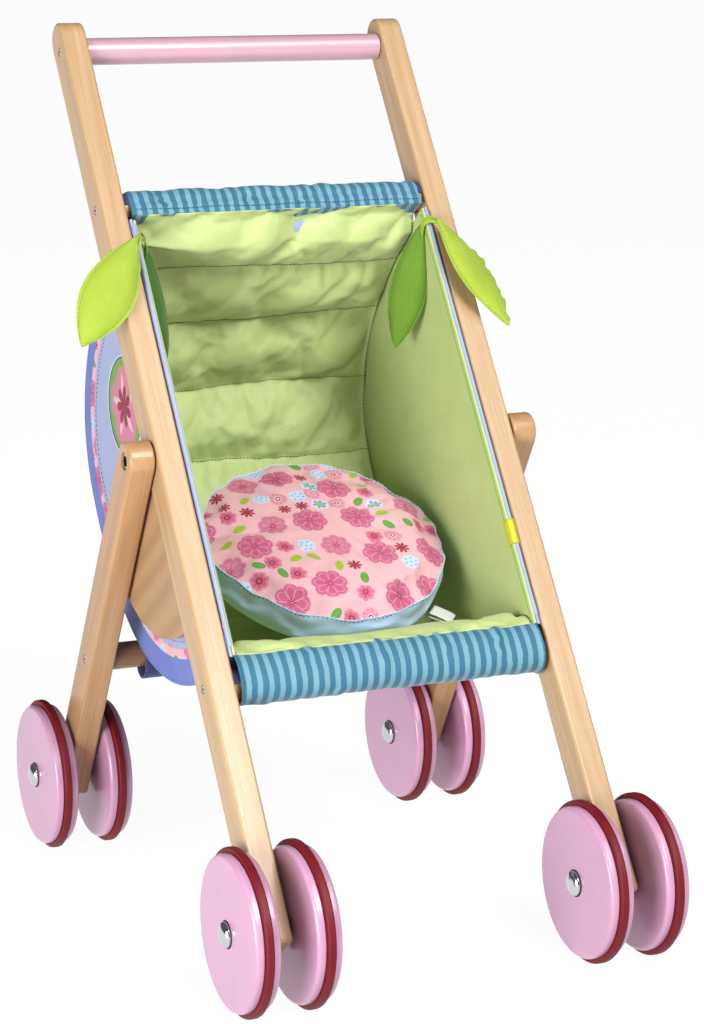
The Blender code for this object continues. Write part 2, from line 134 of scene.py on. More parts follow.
def stretched(place: Socket, turn: Sequence[float], cell: Sequence[float]) -> Socket:
    """Turn coordinates, and measure them in cells of the given three sizes."""
    return add_node(place.id_data, "Mapping", {"Vector": place, "Rotation": turn, "Scale": cell},
                    vector_type="TEXTURE")


def remap(value: Socket, low: float, high: float, to_low: float, to_high: float) -> Socket:
    """Move a value from one range to another, without passing its ends."""
    return add_node(value.id_data, "MapRange", {0: value, 1: low, 2: high, 3: to_low, 4: to_high})


def mix(share: float, first: Socket, second: Socket) -> Socket:
    """Mix two values."""
    return add_node(first.id_data, "Mix", {0: share, 2: first, 3: second}, data_type="FLOAT")


def mix_colours(share: Socket, first: Socket | Sequence[float], second: Socket | Sequence[float]) -> Socket:
    """Mix two colours, each of them a socket or linear values."""
    return add_node(share.id_data, "Mix", {0: share, 6: first, 7: second}, 2, data_type="RGBA")


def toned(value: Socket, colour: Socket | str) -> Socket:
    """Make a colour lighter or darker by a factor."""
    colour = linear(colour) if isinstance(colour, str) else colour
    return add_node(value.id_data, "HueSaturation", {"Value": value, "Color": colour})


def bumps(height: Socket, strength: float, distance: float, **more: Socket) -> Socket:
    """Turn heights into bumps of a depth in metres; more names further inputs."""
    values = {"Strength": strength, "Distance": distance, "Height": height, **more}
    return add_node(height.id_data, "Bump", values)


def ramp(value: Socket, stops: Sequence[tuple[float, str]]) -> Socket:
    """Turn a value into a colour by stops of (position, hex colour), in order."""
    colour = add_node(value.id_data, "ValToRGB", {0: value})
    band = colour.node.color_ramp
    while len(band.elements) < len(stops):
        band.elements.new(0.5)
    for element, (at, code) in zip(band.elements, stops):
        element.position = at
        element.color = linear(code)
    return colour


# ---------------------------------------------------------------- finishes

@dataclass(frozen=True)
class Finish:
    """A surface finish, which makes one Blender material.

    Attributes:
        label: The material's name.
        roughness: Roughness of the Principled shader.
    """

    label: str
    roughness: float = 0.6

    def material(self) -> bpy.types.Material:
        """Make the material, or hand back the one that was made before."""
        made = bpy.data.materials.get(self.label)
        if made is None:
            made = bpy.data.materials.new(self.label)
            made.use_nodes = True
            place = add_node(made.node_tree, "TexCoord", out="Object")
            wire(made.node_tree.nodes["Principled BSDF"], {"Roughness": self.roughness, **self.dress(place)})
        return made

    def dress(self, place: Socket) -> dict:
        """Give the Principled shader's inputs, made from a piece's own coordinates."""
        raise NotImplementedError


@dataclass(frozen=True)
class Beech(Finish):
    """Straight-grained beech under clear satin lacquer, planed and sanded.

    The eye sees a warm cream wood with fine lengthwise streaks and short brown flecks, and a soft
    sheen from the lacquer.

    Attributes:
        light: Colour between the streaks.
        dark: Colour of the streaks.
        fleck: Colour of the flecks.
        lean: Turn about X of the bar whose grain this is.
        across: True where the grain runs across the stroller.
    """

    light: str = "B29571"
    dark: str = "A27F57"
    fleck: str = "8E653D"
    lean: float = 0.0
    across: bool = False
    roughness: float = 0.42

    def dress(self, place: Socket) -> dict:
        """Draw streaks, flecks, pores and lacquer."""
        turn = (0, math.pi / 2, 0) if self.across else (self.lean, 0, 0)
        grain = stretched(place, turn, (7 * MM, 7 * MM, 190 * MM))
        wide = speckle(grain, 1.0, 3.0, Roughness=0.55, Distortion=0.4)
        streak = speckle(stretched(place, turn, (0.9 * MM, 0.9 * MM, 45 * MM)), 1.0)
        both = mix(0.42, wide, streak)
        # Rays show as flecks about 3 mm long; they are drawn a little wider than the real 0.3 mm.
        short = stretched(place, turn, (1.1 * MM, 1.1 * MM, 5.5 * MM))
        cell = add_node(place.id_data, "TexVoronoi", {"Vector": short, "Scale": 1.0, "Randomness": 1.0})
        some = remap(speckle(grain, 2.3, 1.0), 0.45, 0.62, 0.15, 1.0)
        amount = calc("MULTIPLY", remap(cell, 0.12, 0.3, 0.42, 0.0), some)
        return {"Base Color": mix_colours(amount, ramp(both, [(0.36, self.dark), (0.62, self.light)]),
                                          linear(self.fleck)),
                "Roughness": remap(both, 0.0, 1.0, self.roughness + 0.06, self.roughness - 0.04),
                "Normal": bumps(streak, 0.25, 0.05 * MM), "Specular IOR Level": 0.3,
                "Coat Weight": 0.35, "Coat Roughness": 0.2}


@dataclass(frozen=True)
class Veneer(Finish):
    """Rotary-cut beech face veneer on plywood, sanded and lacquered.

    Peeling the log gives wide wavy figure across the plate in place of straight grain.
    """

    roughness: float = 0.5
    lean: float = 0.0

    def dress(self, place: Socket) -> dict:
        """Draw the wavy figure and fine pores."""
        turn = (self.lean, 0, 0)
        figure = {"Vector": stretched(place, turn, (60 * MM, 110 * MM, 34 * MM)), "Scale": 0.5,
                  "Distortion": 5.0, "Detail": 2.5, "Detail Scale": 0.9}
        wave = add_node(place.id_data, "TexWave", figure, "Fac", bands_direction="Z")
        speck = speckle(stretched(place, turn, (1.2 * MM, 6 * MM, 1.0 * MM)), 1.0)
        tone = ramp(mix(0.4, wave, speck), [(0.2, "967250"), (0.5, "9C7B56"), (0.85, "A1815C")])
        return {"Base Color": tone, "Normal": bumps(speck, 0.2, 0.05 * MM)}


@dataclass(frozen=True)
class Paint(Finish):
    """Sprayed water-based enamel on turned wood: even colour, soft gloss, faint orange peel.

    Attributes:
        colour: Colour of the paint.
        coat: Weight of the gloss coat.
    """

    colour: str = "C28EAF"
    roughness: float = 0.34
    coat: float = 0.35

    def dress(self, place: Socket) -> dict:
        """Draw slight tone changes, orange peel and the coat."""
        return {"Base Color": toned(remap(speckle(place, 1 / (28 * MM)), 0.3, 0.7, 0.97, 1.03), self.colour),
                "Normal": bumps(speckle(place, 1 / (1.6 * MM), 1.0), 0.12, 0.05 * MM),
                "Coat Weight": self.coat, "Coat Roughness": 0.12}


@dataclass(frozen=True)
class Rubber(Finish):
    """Moulded rubber: deep red or black, satin, with a fine moulded texture and scuffs."""

    colour: str = "630712"
    roughness: float = 0.5

    def dress(self, place: Socket) -> dict:
        """Draw scuffs and fine texture."""
        scuff = speckle(place, 1 / (9 * MM), 4.0)
        return {"Base Color": toned(remap(scuff, 0.3, 0.7, 0.85, 1.12), self.colour),
                "Roughness": remap(scuff, 0.0, 1.0, self.roughness - 0.06, self.roughness + 0.14),
                "Normal": bumps(speckle(place, 1 / (0.7 * MM), 1.0), 0.15, 0.04 * MM),
                "Specular IOR Level": 0.28}


@dataclass(frozen=True)
class Metal(Finish):
    """Chrome or zinc plate on pressed steel: a bright mirror with hairline wear."""

    colour: str = "CDD0D4"
    roughness: float = 0.09

    def dress(self, place: Socket) -> dict:
        """Draw wear on the mirror finish."""
        wear = speckle(place, 1 / (2.5 * MM), 4.0)
        return {"Base Color": toned(remap(wear, 0.0, 1.0, 0.94, 1.0), self.colour), "Metallic": 1.0,
                "Roughness": remap(wear, 0.35, 0.75, self.roughness, self.roughness + 0.16)}


@dataclass(frozen=True)
class Cloth(Finish):
    """Plain-woven polyester-cotton: matt, with a fine square weave and a soft sheen.

    Threads are 0.25 mm on the real cloth; the weave is drawn at the pitch given here, so that it
    shows at all.

    Attributes:
        colour: Main colour.
        other: Colour that the slow tone change leans to.
        pitch: Spacing of the drawn threads, in metres.
        sheen: Weight of the fibres' sheen.
        crease: Depth of the small creases, in metres.
    """

    colour: str = "8EAC59"
    other: str = "82A14E"
    pitch: float = 0.9 * MM
    sheen: float = 0.25
    crease: float = 0.5 * MM
    roughness: float = 0.75

    def dress(self, place: Socket) -> dict:
        """Draw tone, weave, creases and sheen."""
        threads = {"Vector": place, "Scale": 1 / (self.pitch * math.tau) * 2, "Distortion": 0.6}
        weave = calc("MULTIPLY", *[add_node(place.id_data, "TexWave", threads, "Fac", bands_direction=way)
                                   for way in "XZ"])
        soft = bumps(speckle(place, 1 / (13 * MM), 3.0, Distortion=0.8), 0.35, self.crease)
        return {"Base Color": self.tone(place), "Normal": bumps(weave, 0.3, 0.12 * MM, Normal=soft),
                "Sheen Weight": self.sheen, "Sheen Roughness": 0.4}

    def tone(self, place: Socket) -> Socket:
        """Make the cloth's colour, with slow changes and slubs."""
        both = mix(0.45, speckle(place, 1 / (22 * MM), 3.0), speckle(place, 1 / (1.3 * MM), 1.0))
        return ramp(both, [(0.35, self.other), (0.65, self.colour)])


@dataclass(frozen=True)
class Satin(Cloth):
    """Satin-woven polyester: long floats lie flat, so it is smoother and glossier than plain cloth."""

    roughness: float = 0.45
    sheen: float = 0.1
    pitch: float = 0.6 * MM


@dataclass(frozen=True)
class StripedCloth(Cloth):
    """Yarn-dyed poplin with two even blues, read from the piece's own UV map in metres.

    Attributes:
        dark: Colour of the dark stripes.
        repeat: Width of one dark and one light stripe together, in metres.
    """

    dark: str = "236078"
    repeat: float = 7.7 * MM

    def tone(self, place: Socket) -> Socket:
        """Make the stripes, with slightly fuzzy woven edges."""
        flat = add_node(place.id_data, "UVMap", uv_map="cloth")
        along = add_node(place.id_data, "SeparateXYZ", {0: flat}, "X")
        frayed = calc("MULTIPLY_ADD", speckle(flat, 1 / (1.1 * MM)), 0.9 * MM, along)
        band = ramp(calc("FRACT", calc("DIVIDE", frayed, self.repeat)), [
            (0.0, self.dark), (0.48, self.dark), (0.54, self.colour), (0.96, self.colour), (1.0, self.dark)])
        return toned(remap(speckle(flat, 1 / (0.8 * MM)), 0.3, 0.7, 0.86, 1.12), band)


@dataclass(frozen=True)
class FlowerCloth(Cloth):
    """Screen-printed cotton with a generic scatter of flowers, blossoms and leaves on pale pink.

    Two jittered grids are read from the UV map in metres: a wide one carries the large flowers,
    and a close one the small shapes, shown only where they are clear of a large flower.

    Attributes:
        ground: Colour of the unprinted ground.
        big: Spacing of the large flowers, in metres.
        small: Spacing of the small shapes, in metres.
        clear_of: Least distance of a small shape from a large flower's middle, in metres.
    """

    ground: str = "CF9EA5"
    big: float = 38 * MM
    small: float = 13.4 * MM
    clear_of: float = 17.4 * MM
    crease: float = 0.25 * MM

    def heading(self, offset: Socket, turn: Socket | float) -> Socket:
        """Give the angle of an offset about its middle, with a turn added."""
        parts = add_node(offset.id_data, "SeparateXYZ", {0: offset})
        return calc("ADD", calc("ARCTAN2", parts.node.outputs["Y"], parts), turn)

    def flower(self, offset: Socket, count: float, reach: float, depth: float,
               turn: Socket | float = 0.0, sharp: float = 0.5) -> Socket:
        """Measure how deep a point lies in a round-petalled flower.

        Args:
            offset: Vector from the flower's middle to the point, in metres.
            count: Number of petals.
            reach: Radius of the flower, in metres.
            depth: How deeply the gaps cut in, as a share of the radius.
            turn: Angle that the flower is turned by.
            sharp: How pointed the petals are: 0.5 is round, 4 is a thin ray.

        Returns:
            A socket that is 0 at the middle, 1 at the flower's edge, and more outside.
        """
        lobe = calc("ABSOLUTE", calc("COSINE", calc("MULTIPLY", self.heading(offset, turn), count / 2)))
        edge = calc("MULTIPLY_ADD", calc("POWER", lobe, sharp), reach * depth, reach * (1 - depth))
        return calc("DIVIDE", vector("LENGTH", offset, out="Value"), edge)

    def dots(self, offset: Socket, count: float, ring: float, size: float,
             turn: Socket | float = 0.0) -> Socket:
        """Measure the distance to the nearest dot of a ring of dots.

        Args:
            offset: Vector from the ring's middle to the point, in metres.
            count: Number of dots.
            ring: Radius of the ring, in metres.
            size: Radius of a dot, in metres.
            turn: Angle that the ring is turned by.

        Returns:
            A socket that is under 1 inside a dot.
        """
        whole_turns = 40.0  # keeps the angle positive for FRACT
        share = calc("FRACT", calc("MULTIPLY_ADD", self.heading(offset, turn), count / math.tau, whole_turns))
        round_way = calc("MULTIPLY_ADD", share, math.tau * ring / count, -math.pi * ring / count)
        out_way = calc("SUBTRACT", vector("LENGTH", offset, out="Value"), ring)
        both = add_node(offset.id_data, "CombineXYZ", {0: round_way, 1: out_way})
        return calc("DIVIDE", vector("LENGTH", both, out="Value"), size)

    def ring(self, offset: Socket, radius: float, half: float) -> Socket:
        """Measure the distance to a circle: under 1 within half a line's width of it."""
        signed = calc("SUBTRACT", vector("LENGTH", offset, out="Value"), radius)
        return calc("DIVIDE", calc("ABSOLUTE", signed), half)

    def paint(self, under: Socket, ink: str | Socket, depth: Socket, gate: Socket | float = 1.0,
              strength: float = 1.0) -> Socket:
        """Print an ink where a shape is.

        Args:
            under: The colour beneath.
            ink: The ink's hex colour, or a colour socket.
            depth: Under 1 inside the shape.
            gate: 1 where the shape may print at all.
            strength: How well the ink covers.

        Returns:
            The colour's socket.
        """
        amount = calc("MULTIPLY", remap(depth, 0.94, 1.06, strength, 0.0), gate)
        return mix_colours(amount, under, linear(ink) if isinstance(ink, str) else ink)

    def between(self, value: Socket, low: float, high: float) -> Socket:
        """Give 1 where a value is between two limits, and 0 elsewhere."""
        return calc("MULTIPLY", calc("GREATER_THAN", value, low), calc("LESS_THAN", value, high))

    def scatter(self, flat: Socket, spacing: float, jitter: float) -> tuple[Socket, ...]:
        """Lay a jittered grid of shapes.

        Args:
            flat: The UV coordinates, in metres.
            spacing: Distance between shapes, in metres.
            jitter: Randomness of the grid, from 0 to 1.

        Returns:
            The vector from the nearest shape's middle, that middle, and three random numbers.
        """
        grid = {"Vector": flat, "Scale": 1 / spacing, "Randomness": jitter}
        cell = add_node(flat.id_data, "TexVoronoi", grid, "Position", voronoi_dimensions="2D")
        middle = vector("MULTIPLY", cell, (1, 1, 0))
        dice = add_node(flat.id_data, "SeparateColor", {0: cell.node.outputs["Color"]})
        return vector("SUBTRACT", flat, middle), middle, dice, dice.node.outputs[1], dice.node.outputs[2]

    def large(self, flat: Socket, under: Socket) -> Socket:
        """Print the large flowers, with pale petal lines and a dotted dark heart."""
        offset, _, kind, turn, _ = self.scatter(flat, self.big, 0.55)
        spin = calc("MULTIPLY", turn, math.tau)
        for low, high, count, reach, ink, line in ((-1.0, 0.6, 7, 12.4 * MM, "B14C72", "C38399"),
                                                   (0.6, 2.0, 8, 10.8 * MM, "BA6E87", "A94B6D")):
            gate = self.between(kind, low, high)
            colour = self.paint(under, ink, self.flower(offset, count, reach, 0.2, spin), gate)
            inner = self.flower(offset, count, reach * 0.84, 0.62, spin)
            close = calc("DIVIDE", calc("ABSOLUTE", calc("SUBTRACT", inner, 1.0)), 0.07)
            colour = self.paint(colour, line, close, gate, 0.6)
            rays = self.flower(offset, count, reach * 0.8, 0.98, calc("ADD", spin, math.pi / count), 14)
            under = self.paint(colour, line, rays, gate, 0.75)
        under = self.paint(under, "A1294F", self.ring(offset, 0.0, 1.7 * MM))
        under = self.paint(under, "770F2C", self.dots(offset, 8, 2.5 * MM, 0.5 * MM, spin))
        return self.paint(under, "CDA7AE", self.ring(offset, 0.0, 0.45 * MM))

    def tone(self, place: Socket) -> Socket:
        """Print the whole pattern, small shapes first."""
        flat = add_node(place.id_data, "UVMap", uv_map="cloth")
        colour = toned(remap(speckle(flat, 1 / (1.2 * MM)), 0.3, 0.7, 0.96, 1.03), self.ground)
        offset, middle, kind, turn, other = self.scatter(flat, self.small, 0.34)
        _, nearest, *_ = self.scatter(middle, self.big, 0.55)
        clear = calc("GREATER_THAN", vector("DISTANCE", middle, nearest, out="Value"), self.clear_of)
        spin = calc("MULTIPLY", turn, math.tau)
        # Each kind of small shape takes a share of the dice, and its inks go on in this order.
        for low, high, layers in (
            (-1.0, 0.17, (("C36B85", self.flower, 7, 6.8 * MM, 0.24), ("B34F70", self.flower, 7, 5 * MM, 0.5),
                          ("891230", self.ring, 1.7 * MM, 0.5 * MM))),
            (0.17, 0.28, (("C98496", self.flower, 9, 6.6 * MM, 0.12),
                          ("AF5673", self.dots, 9, 4.8 * MM, 0.6 * MM),
                          ("D4CCCC", self.ring, 0.0, 2.3 * MM), ("831531", self.ring, 1.4 * MM, 0.5 * MM))),
            (0.28, 0.45, (("8D1732", self.flower, 8, 5.2 * MM, 0.88),)),
            (0.45, 0.6, (("B9C3D3", self.flower, 6, 6.5 * MM, 0.2),
                         ("5C86BB", self.flower, 6, 5.2 * MM, 0.84),
                         ("8EA72D", self.flower, 6, 2.9 * MM, 0.55))),
            (0.6, 0.7, (("AEBDD1", self.flower, 7, 6.6 * MM, 0.16),
                        ("6F91C0", self.dots, 6, 3.9 * MM, 0.8 * MM),
                        ("6F91C0", self.dots, 1, 0.01 * MM, 0.8 * MM))),
        ):
            gate = calc("MULTIPLY", self.between(kind, low, high), clear)
            for ink, shape, *sizes in layers:
                sizes += [] if shape == self.ring else [spin]
                colour = self.paint(colour, ink, shape(offset, *sizes), gate)
        return self.large(flat, self.leaves(colour, offset, spin, other, calc(
            "MULTIPLY", self.between(kind, 0.7, 2.0), clear)))

    def leaves(self, colour: Socket, offset: Socket, spin: Socket, dice: Socket, gate: Socket) -> Socket:
        """Print the small green leaves, each with a pale vein.

        Args:
            colour: The colour beneath.
            offset: Vector from the leaf's middle to the point, in metres.
            spin: Angle that the leaf is turned by.
            dice: Random number that picks one of two greens.
            gate: 1 where a leaf may print at all.

        Returns:
            The colour's socket.
        """
        turned = add_node(offset.id_data, "VectorRotate", {"Vector": offset, "Angle": spin},
                          rotation_type="Z_AXIS")
        oval = vector("MULTIPLY", turned, (1 / (5.0 * MM), 1 / (2.9 * MM), 0))
        reach = vector("LENGTH", oval, out="Value")
        ink = mix_colours(self.between(dice, -1.0, 0.5), linear("518931"), linear("8EA328"))
        colour = self.paint(colour, ink, reach, gate)
        vein = self.between(add_node(offset.id_data, "SeparateXYZ", {0: turned}, "Y"), -0.25 * MM, 0.25 * MM)
        return self.paint(colour, "719323", calc("DIVIDE", reach, 0.75), calc("MULTIPLY", vein, gate))


@dataclass(frozen=True)
class Applique(FlowerCloth):
    """A round sewn-on patch: green felt with one large pink flower, read from the UV map in metres."""

    radius: float = 33.5 * MM

    def tone(self, place: Socket) -> Socket:
        """Draw the flower on its green ground."""
        flat = add_node(place.id_data, "UVMap", uv_map="cloth")
        colour = toned(remap(speckle(flat, 1 / (1.2 * MM)), 0.3, 0.7, 0.94, 1.05), "628D22")
        colour = self.paint(colour, "B86A84", self.flower(flat, 5, self.radius * 0.8, 0.24, 0.4))
        colour = self.paint(colour, "C4A4AC", self.flower(flat, 5, self.radius * 0.66, 0.9, 0.4, 5))
        colour = self.paint(colour, "B86A84", self.ring(flat, 0.0, self.radius * 0.22))
        return self.paint(colour, "7B112F", self.flower(flat, 7, self.radius * 0.42, 0.84, 0.7))


@dataclass(frozen=True)
class Webbing(Cloth):
    """Woven hook-and-loop tape: coarse, matt, with ribs along its length."""

    colour: str = "313464"
    other: str = "23254E"
    pitch: float = 1.4 * MM
    roughness: float = 0.9


class Look(Enum):
    """Every finish on the stroller, named for what it is made of, save two that stand for painted shade."""

    HANDLE_PAINT = Paint("pink enamel, handle", colour="B28D9A", roughness=0.3, coat=0.4)
    WHEEL_PAINT = Paint("pink enamel, wheels", colour="B485A2")
    TYRE = Rubber("red rubber")
    SPACER = Rubber("black rubber", colour="1B1A1C", roughness=0.55)
    CHROME = Metal("chrome plate")
    STEEL = Metal("zinc-plated steel", colour="B9BBBD", roughness=0.24)
    # Flat black as painted shade: inside the screw and bolt sockets, and in the thin ring under each hub
    # dome.
    SHADE_BLACK = Rubber("painted shade, flat black", colour="141416", roughness=0.6)
    GREEN = Cloth("green poplin", colour="ACBA7B", other="A3B270", roughness=0.62)
    LAVENDER = Cloth("lavender poplin", colour="939EBE", other="8B95B7")
    BINDING = Cloth("violet-blue binding", colour="5D6FB0", other="5264A6")
    EDGING = Cloth("pale blue edging", colour="929DC0", other="8894B9")
    PIPING = Cloth("white piping", colour="C4C8CD", other="B7BEC7")
    STRIPED = StripedCloth("striped poplin", colour="628D9F")
    FLOWERED = FlowerCloth("flower-printed cotton")
    SATIN = Satin("light blue satin", colour="B3CFEA", other="A7C4E2")
    LIME = Cloth("lime cotton", colour="90A72E", other="889E23", roughness=0.8)
    LEAF = Cloth("leaf-green cotton", colour="587C10", other="4F730C", roughness=0.8)
    # A darker copy of the leaf-green cotton, as painted shade on the inner left leaf, which faces away from
    # the light.
    LEAF_PAINTED_SHADE = Cloth("leaf-green cotton, painted shade", colour="37600A", other="2F5708", roughness=0.85)
    TAPE = Webbing("navy hook tape")
    PATCH = Applique("flower patch")
    LABEL = Satin("white satin label", colour="CDCDC9", other="C4C4BE")
    LIME_THREAD = Cloth("lime thread", colour="6A8117", other="607512", crease=0.01 * MM)
    LEAF_THREAD = Cloth("leaf-green thread", colour="30530E", other="29490C", crease=0.01 * MM)
    YELLOW = Satin("yellow-green tag", colour="B4BC23", other="ABB219")
    GREEN_PIPING = Cloth("green piping", colour="769D3D", other="6C9234")
    GREEN_THREAD = Cloth("dark green thread", colour="41531E", other="374718", crease=0.01 * MM)
    BLUE_THREAD = Cloth("blue thread", colour="325194", other="294684", crease=0.01 * MM)
    TEAL_THREAD = Cloth("teal thread", colour="255562", other="204C58", crease=0.01 * MM)

    def material(self) -> bpy.types.Material:
        """Make this finish's material, or hand back the one made before."""
        return self.value.material()


# ---------------------------------------------------------------- frames and routes

def rough(x: float, y: float, z: float) -> float:
    """Give smooth noise, from -1 to 1, at a place that is counted in blotches."""
    return noise.noise(Vector((x, y, z)))


@dataclass(frozen=True)
class BarFrame:
    """The frame of a leaning bar: X across the stroller, Y square to the bar, Z up along it.

    Attributes:
        origin: The axle that the bar stands on.
        lean: Turn about X that takes upright to the bar.
    """

    origin: Vector
    lean: float

    def matrix(self) -> Matrix:
        """Give the matrix from this frame to the stroller's."""
        return Matrix.Translation(self.origin) @ Matrix.Rotation(self.lean, 4, "X")

    def local(self, point: Vector) -> Vector:
        """Give a point of the stroller's frame in this one."""
        return self.matrix().inverted() @ point


def node_centre(name: str) -> Vector:
    """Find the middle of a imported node's box, in the stroller's frame."""
    low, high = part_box(name)
    return (low + high) / 2


def width_of(name: str) -> float:
    """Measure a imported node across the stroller."""
    low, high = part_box(name)
    return high.x - low.x


def bar_frame(wheel: str, pivot: str) -> BarFrame:
    """Work out a bar's frame from a tyre and from the pivot that it leads to.

    Args:
        wheel: Name of a tyre on the bar's axle.
        pivot: Name of the pivot's washer.

    Returns:
        The frame, with its origin in the stroller's middle plane.
    """
    axle, top = node_centre(wheel), node_centre(pivot)
    return BarFrame(Vector((0, axle.y, axle.z)), -math.atan2(top.y - axle.y, top.z - axle.z))


BEAM_FRAME = bar_frame("tyre_front_left_outer", "pivot_washer_left")
LEG_FRAME = bar_frame("tyre_rear_left_outer", "pivot_washer_left")
PIVOT_AT = BEAM_FRAME.local(node_centre("pivot_washer_left")).z
LEG_PIVOT_AT = LEG_FRAME.local(node_centre("pivot_washer_left")).z


def beam_place(name: str) -> Vector:
    """Find a node's middle in the beams' frame."""
    return BEAM_FRAME.local(node_centre(name))


@dataclass
class Route:
    """A line through points of (square, along), measured by its length.

    Attributes:
        points: The points, in order.
    """

    points: np.ndarray
    lengths: np.ndarray = field(init=False)

    def __post_init__(self) -> None:
        """Measure the line."""
        steps = np.linalg.norm(np.diff(self.points, axis=0), axis=1)
        self.lengths = np.concatenate([[0.0], np.cumsum(steps)])

    @property
    def length(self) -> float:
        """The whole length, in metres."""
        return float(self.lengths[-1])

    def at(self, length: float) -> Vector:
        """Give the point at a length along the line."""
        return Vector(float(np.interp(length, self.lengths, self.points[:, k])) for k in (0, 1))

    def inward(self, length: float) -> Vector:
        """Give the direction square to the line that points into the pouch."""
        step = 2 * MM
        run = self.at(min(length + step, self.length)) - self.at(max(length - step, 0.0))
        return Vector((run.y, -run.x)).normalized()


@dataclass(frozen=True)
class PouchShape:
    """The side outline of the pouch, in the beams' frame: a straight front and a deep curve behind.

    Attributes:
        front: Square position of the straight front edge.
        widest_at: How far up the beams the pouch is deepest.
        depth: Depth of the pouch behind its front edge.
        above: Length of the outline above its deepest point.
        below: Length of the outline below it.
        power_above: Fullness of the upper curve, where 2 is an ellipse.
        power_below: Fullness of the lower curve.
    """

    front: float = -12 * MM
    widest_at: float = 347 * MM
    depth: float = 186 * MM
    above: float = 128 * MM
    below: float = 179 * MM
    power_above: float = 2.4
    power_below: float = 2.3

    def curve(self, inset: float, steps: int = 120, squares: float = 0.0) -> np.ndarray:
        """List points on the curved edge, from its top corner round to its lower one.

        Args:
            inset: How far inside the panels' edge the points lie.
            steps: Number of steps between the first point and the last.
            squares: How far the ends stop short of the front edge.

        Returns:
            An array of (square, along).
        """
        points = []
        for step in range(steps + 1):
            angle = math.pi * step / steps
            upper = angle < math.pi / 2
            reach, power = (self.above, self.power_above) if upper else (self.below, self.power_below)
            rise = math.copysign(abs(math.cos(angle)) ** (2 / power), math.cos(angle))
            deep = abs(math.sin(angle)) ** (2 / power) if 0 < step < steps else 0.0
            points.append((max(self.front + (self.depth - inset) * deep, self.front + squares),
                           self.widest_at + (reach - inset) * rise))
        return np.array(points)


POUCH = PouchShape()


# ---------------------------------------------------------------- modelling by hand

def clear_selection() -> None:
    """Leave edit mode and deselect everything."""
    if bpy.context.object is not None and bpy.context.object.mode != "OBJECT":
        bpy.ops.object.mode_set(mode="OBJECT")
    bpy.ops.object.select_all(action="DESELECT")


def activate(piece: Piece) -> None:
    """Select one object alone and make it active."""
    clear_selection()
    piece.select_set(True)
    bpy.context.view_layer.objects.active = piece


def edit(piece: Piece, mode: str = "VERT") -> None:
    """Open a piece in edit mode with nothing selected."""
    activate(piece)
    bpy.ops.object.mode_set(mode="EDIT")
    bpy.ops.mesh.select_mode(type=mode)
    bpy.ops.mesh.select_all(action="DESELECT")


def leave() -> None:
    """Go back to object mode."""
    bpy.ops.object.mode_set(mode="OBJECT")


def pick(piece: Piece, mode: str, test: Callable[..., bool]) -> int:
    """Select vertices, edges or faces of a piece in edit mode by a test.

    Args:
        piece: The piece being edited.
        mode: VERT, EDGE or FACE.
        test: Says whether an element is selected.

    Returns:
        How many were selected.
    """
    bpy.ops.mesh.select_mode(type=mode)
    bpy.ops.mesh.select_all(action="DESELECT")
    mesh = bmesh.from_edit_mesh(piece.data)
    elements = {"VERT": mesh.verts, "EDGE": mesh.edges, "FACE": mesh.faces}[mode]
    chosen = [element for element in elements if test(element)]
    for element in chosen:
        element.select_set(True)
    mesh.select_flush_mode()
    bmesh.update_edit_mesh(piece.data)
    return len(chosen)


def apply_modifier(piece: Piece, kind: str, **settings) -> None:
    """Add a modifier to a piece and apply it.

    Args:
        piece: The piece.
        kind: The modifier's type.
        **settings: The modifier's properties.
    """
    activate(piece)
    made = piece.modifiers.new(kind.lower(), kind)
    for name, value in settings.items():
        setattr(made, name, value)
    bpy.ops.object.modifier_apply(modifier=made.name)


def smooth(piece: Piece, angle: float = 40, weigh: bool = True) -> None:
    """Shade a piece smooth up to an angle, with flat faces kept flat.

    Args:
        piece: The piece.
        angle: Sharpest angle that is shaded smooth, in degrees.
        weigh: Whether large faces decide the shading next to them.
    """
    activate(piece)
    bpy.ops.object.shade_smooth_by_angle(angle=math.radians(angle))
    if weigh:
        apply_modifier(piece, "WEIGHTED_NORMAL", keep_sharp=True, weight=80)


def settle(piece: Piece, place: Matrix) -> None:
    """Move a piece's mesh to its place, leaving the object at the origin."""
    piece.data.transform(place @ piece.matrix_world)
    piece.matrix_world = Matrix.Identity(4)


def trace(name: str, points: Sequence[Vector]) -> Piece:
    """Draw a chain of vertices by extruding one vertex from point to point.

    Args:
        name: The new object's name.
        points: The places to pass through.

    Returns:
        The object, in edit mode with everything selected.
    """
    clear_selection()
    bpy.ops.mesh.primitive_plane_add(size=MM, location=(0, 0, 0))
    piece = bpy.context.object
    piece.name = name
    edit(piece)
    bpy.ops.mesh.select_all(action="SELECT")
    bpy.ops.mesh.merge(type="CENTER")
    bpy.ops.transform.translate(value=points[0])
    for last, point in zip(points, points[1:]):
        bpy.ops.mesh.extrude_region_move(TRANSFORM_OT_translate={"value": Vector(point) - Vector(last)})
    bpy.ops.mesh.select_all(action="SELECT")
    return piece


def lathe(name: str, profile: Sequence[tuple[float, float]], steps: int = 48,
          closed: bool = False) -> Piece:
    """Turn a profile about Z, as on a lathe.

    Args:
        name: The new object's name.
        profile: Points of (radius, height).
        steps: Number of steps round the turn.
        closed: Whether the profile's end joins its start.

    Returns:
        The turned piece, in object mode.
    """
    points = [Vector((radius, 0, height)) for radius, height in profile]
    if closed:
        points.append(points[0])
    piece = trace(name, points)
    bpy.ops.mesh.spin(steps=steps, angle=math.tau, center=(0, 0, 0), axis=(0, 0, 1))
    bpy.ops.mesh.select_all(action="SELECT")
    bpy.ops.mesh.remove_doubles(threshold=0.005 * MM)
    bpy.ops.mesh.normals_make_consistent(inside=False)
    leave()
    return piece


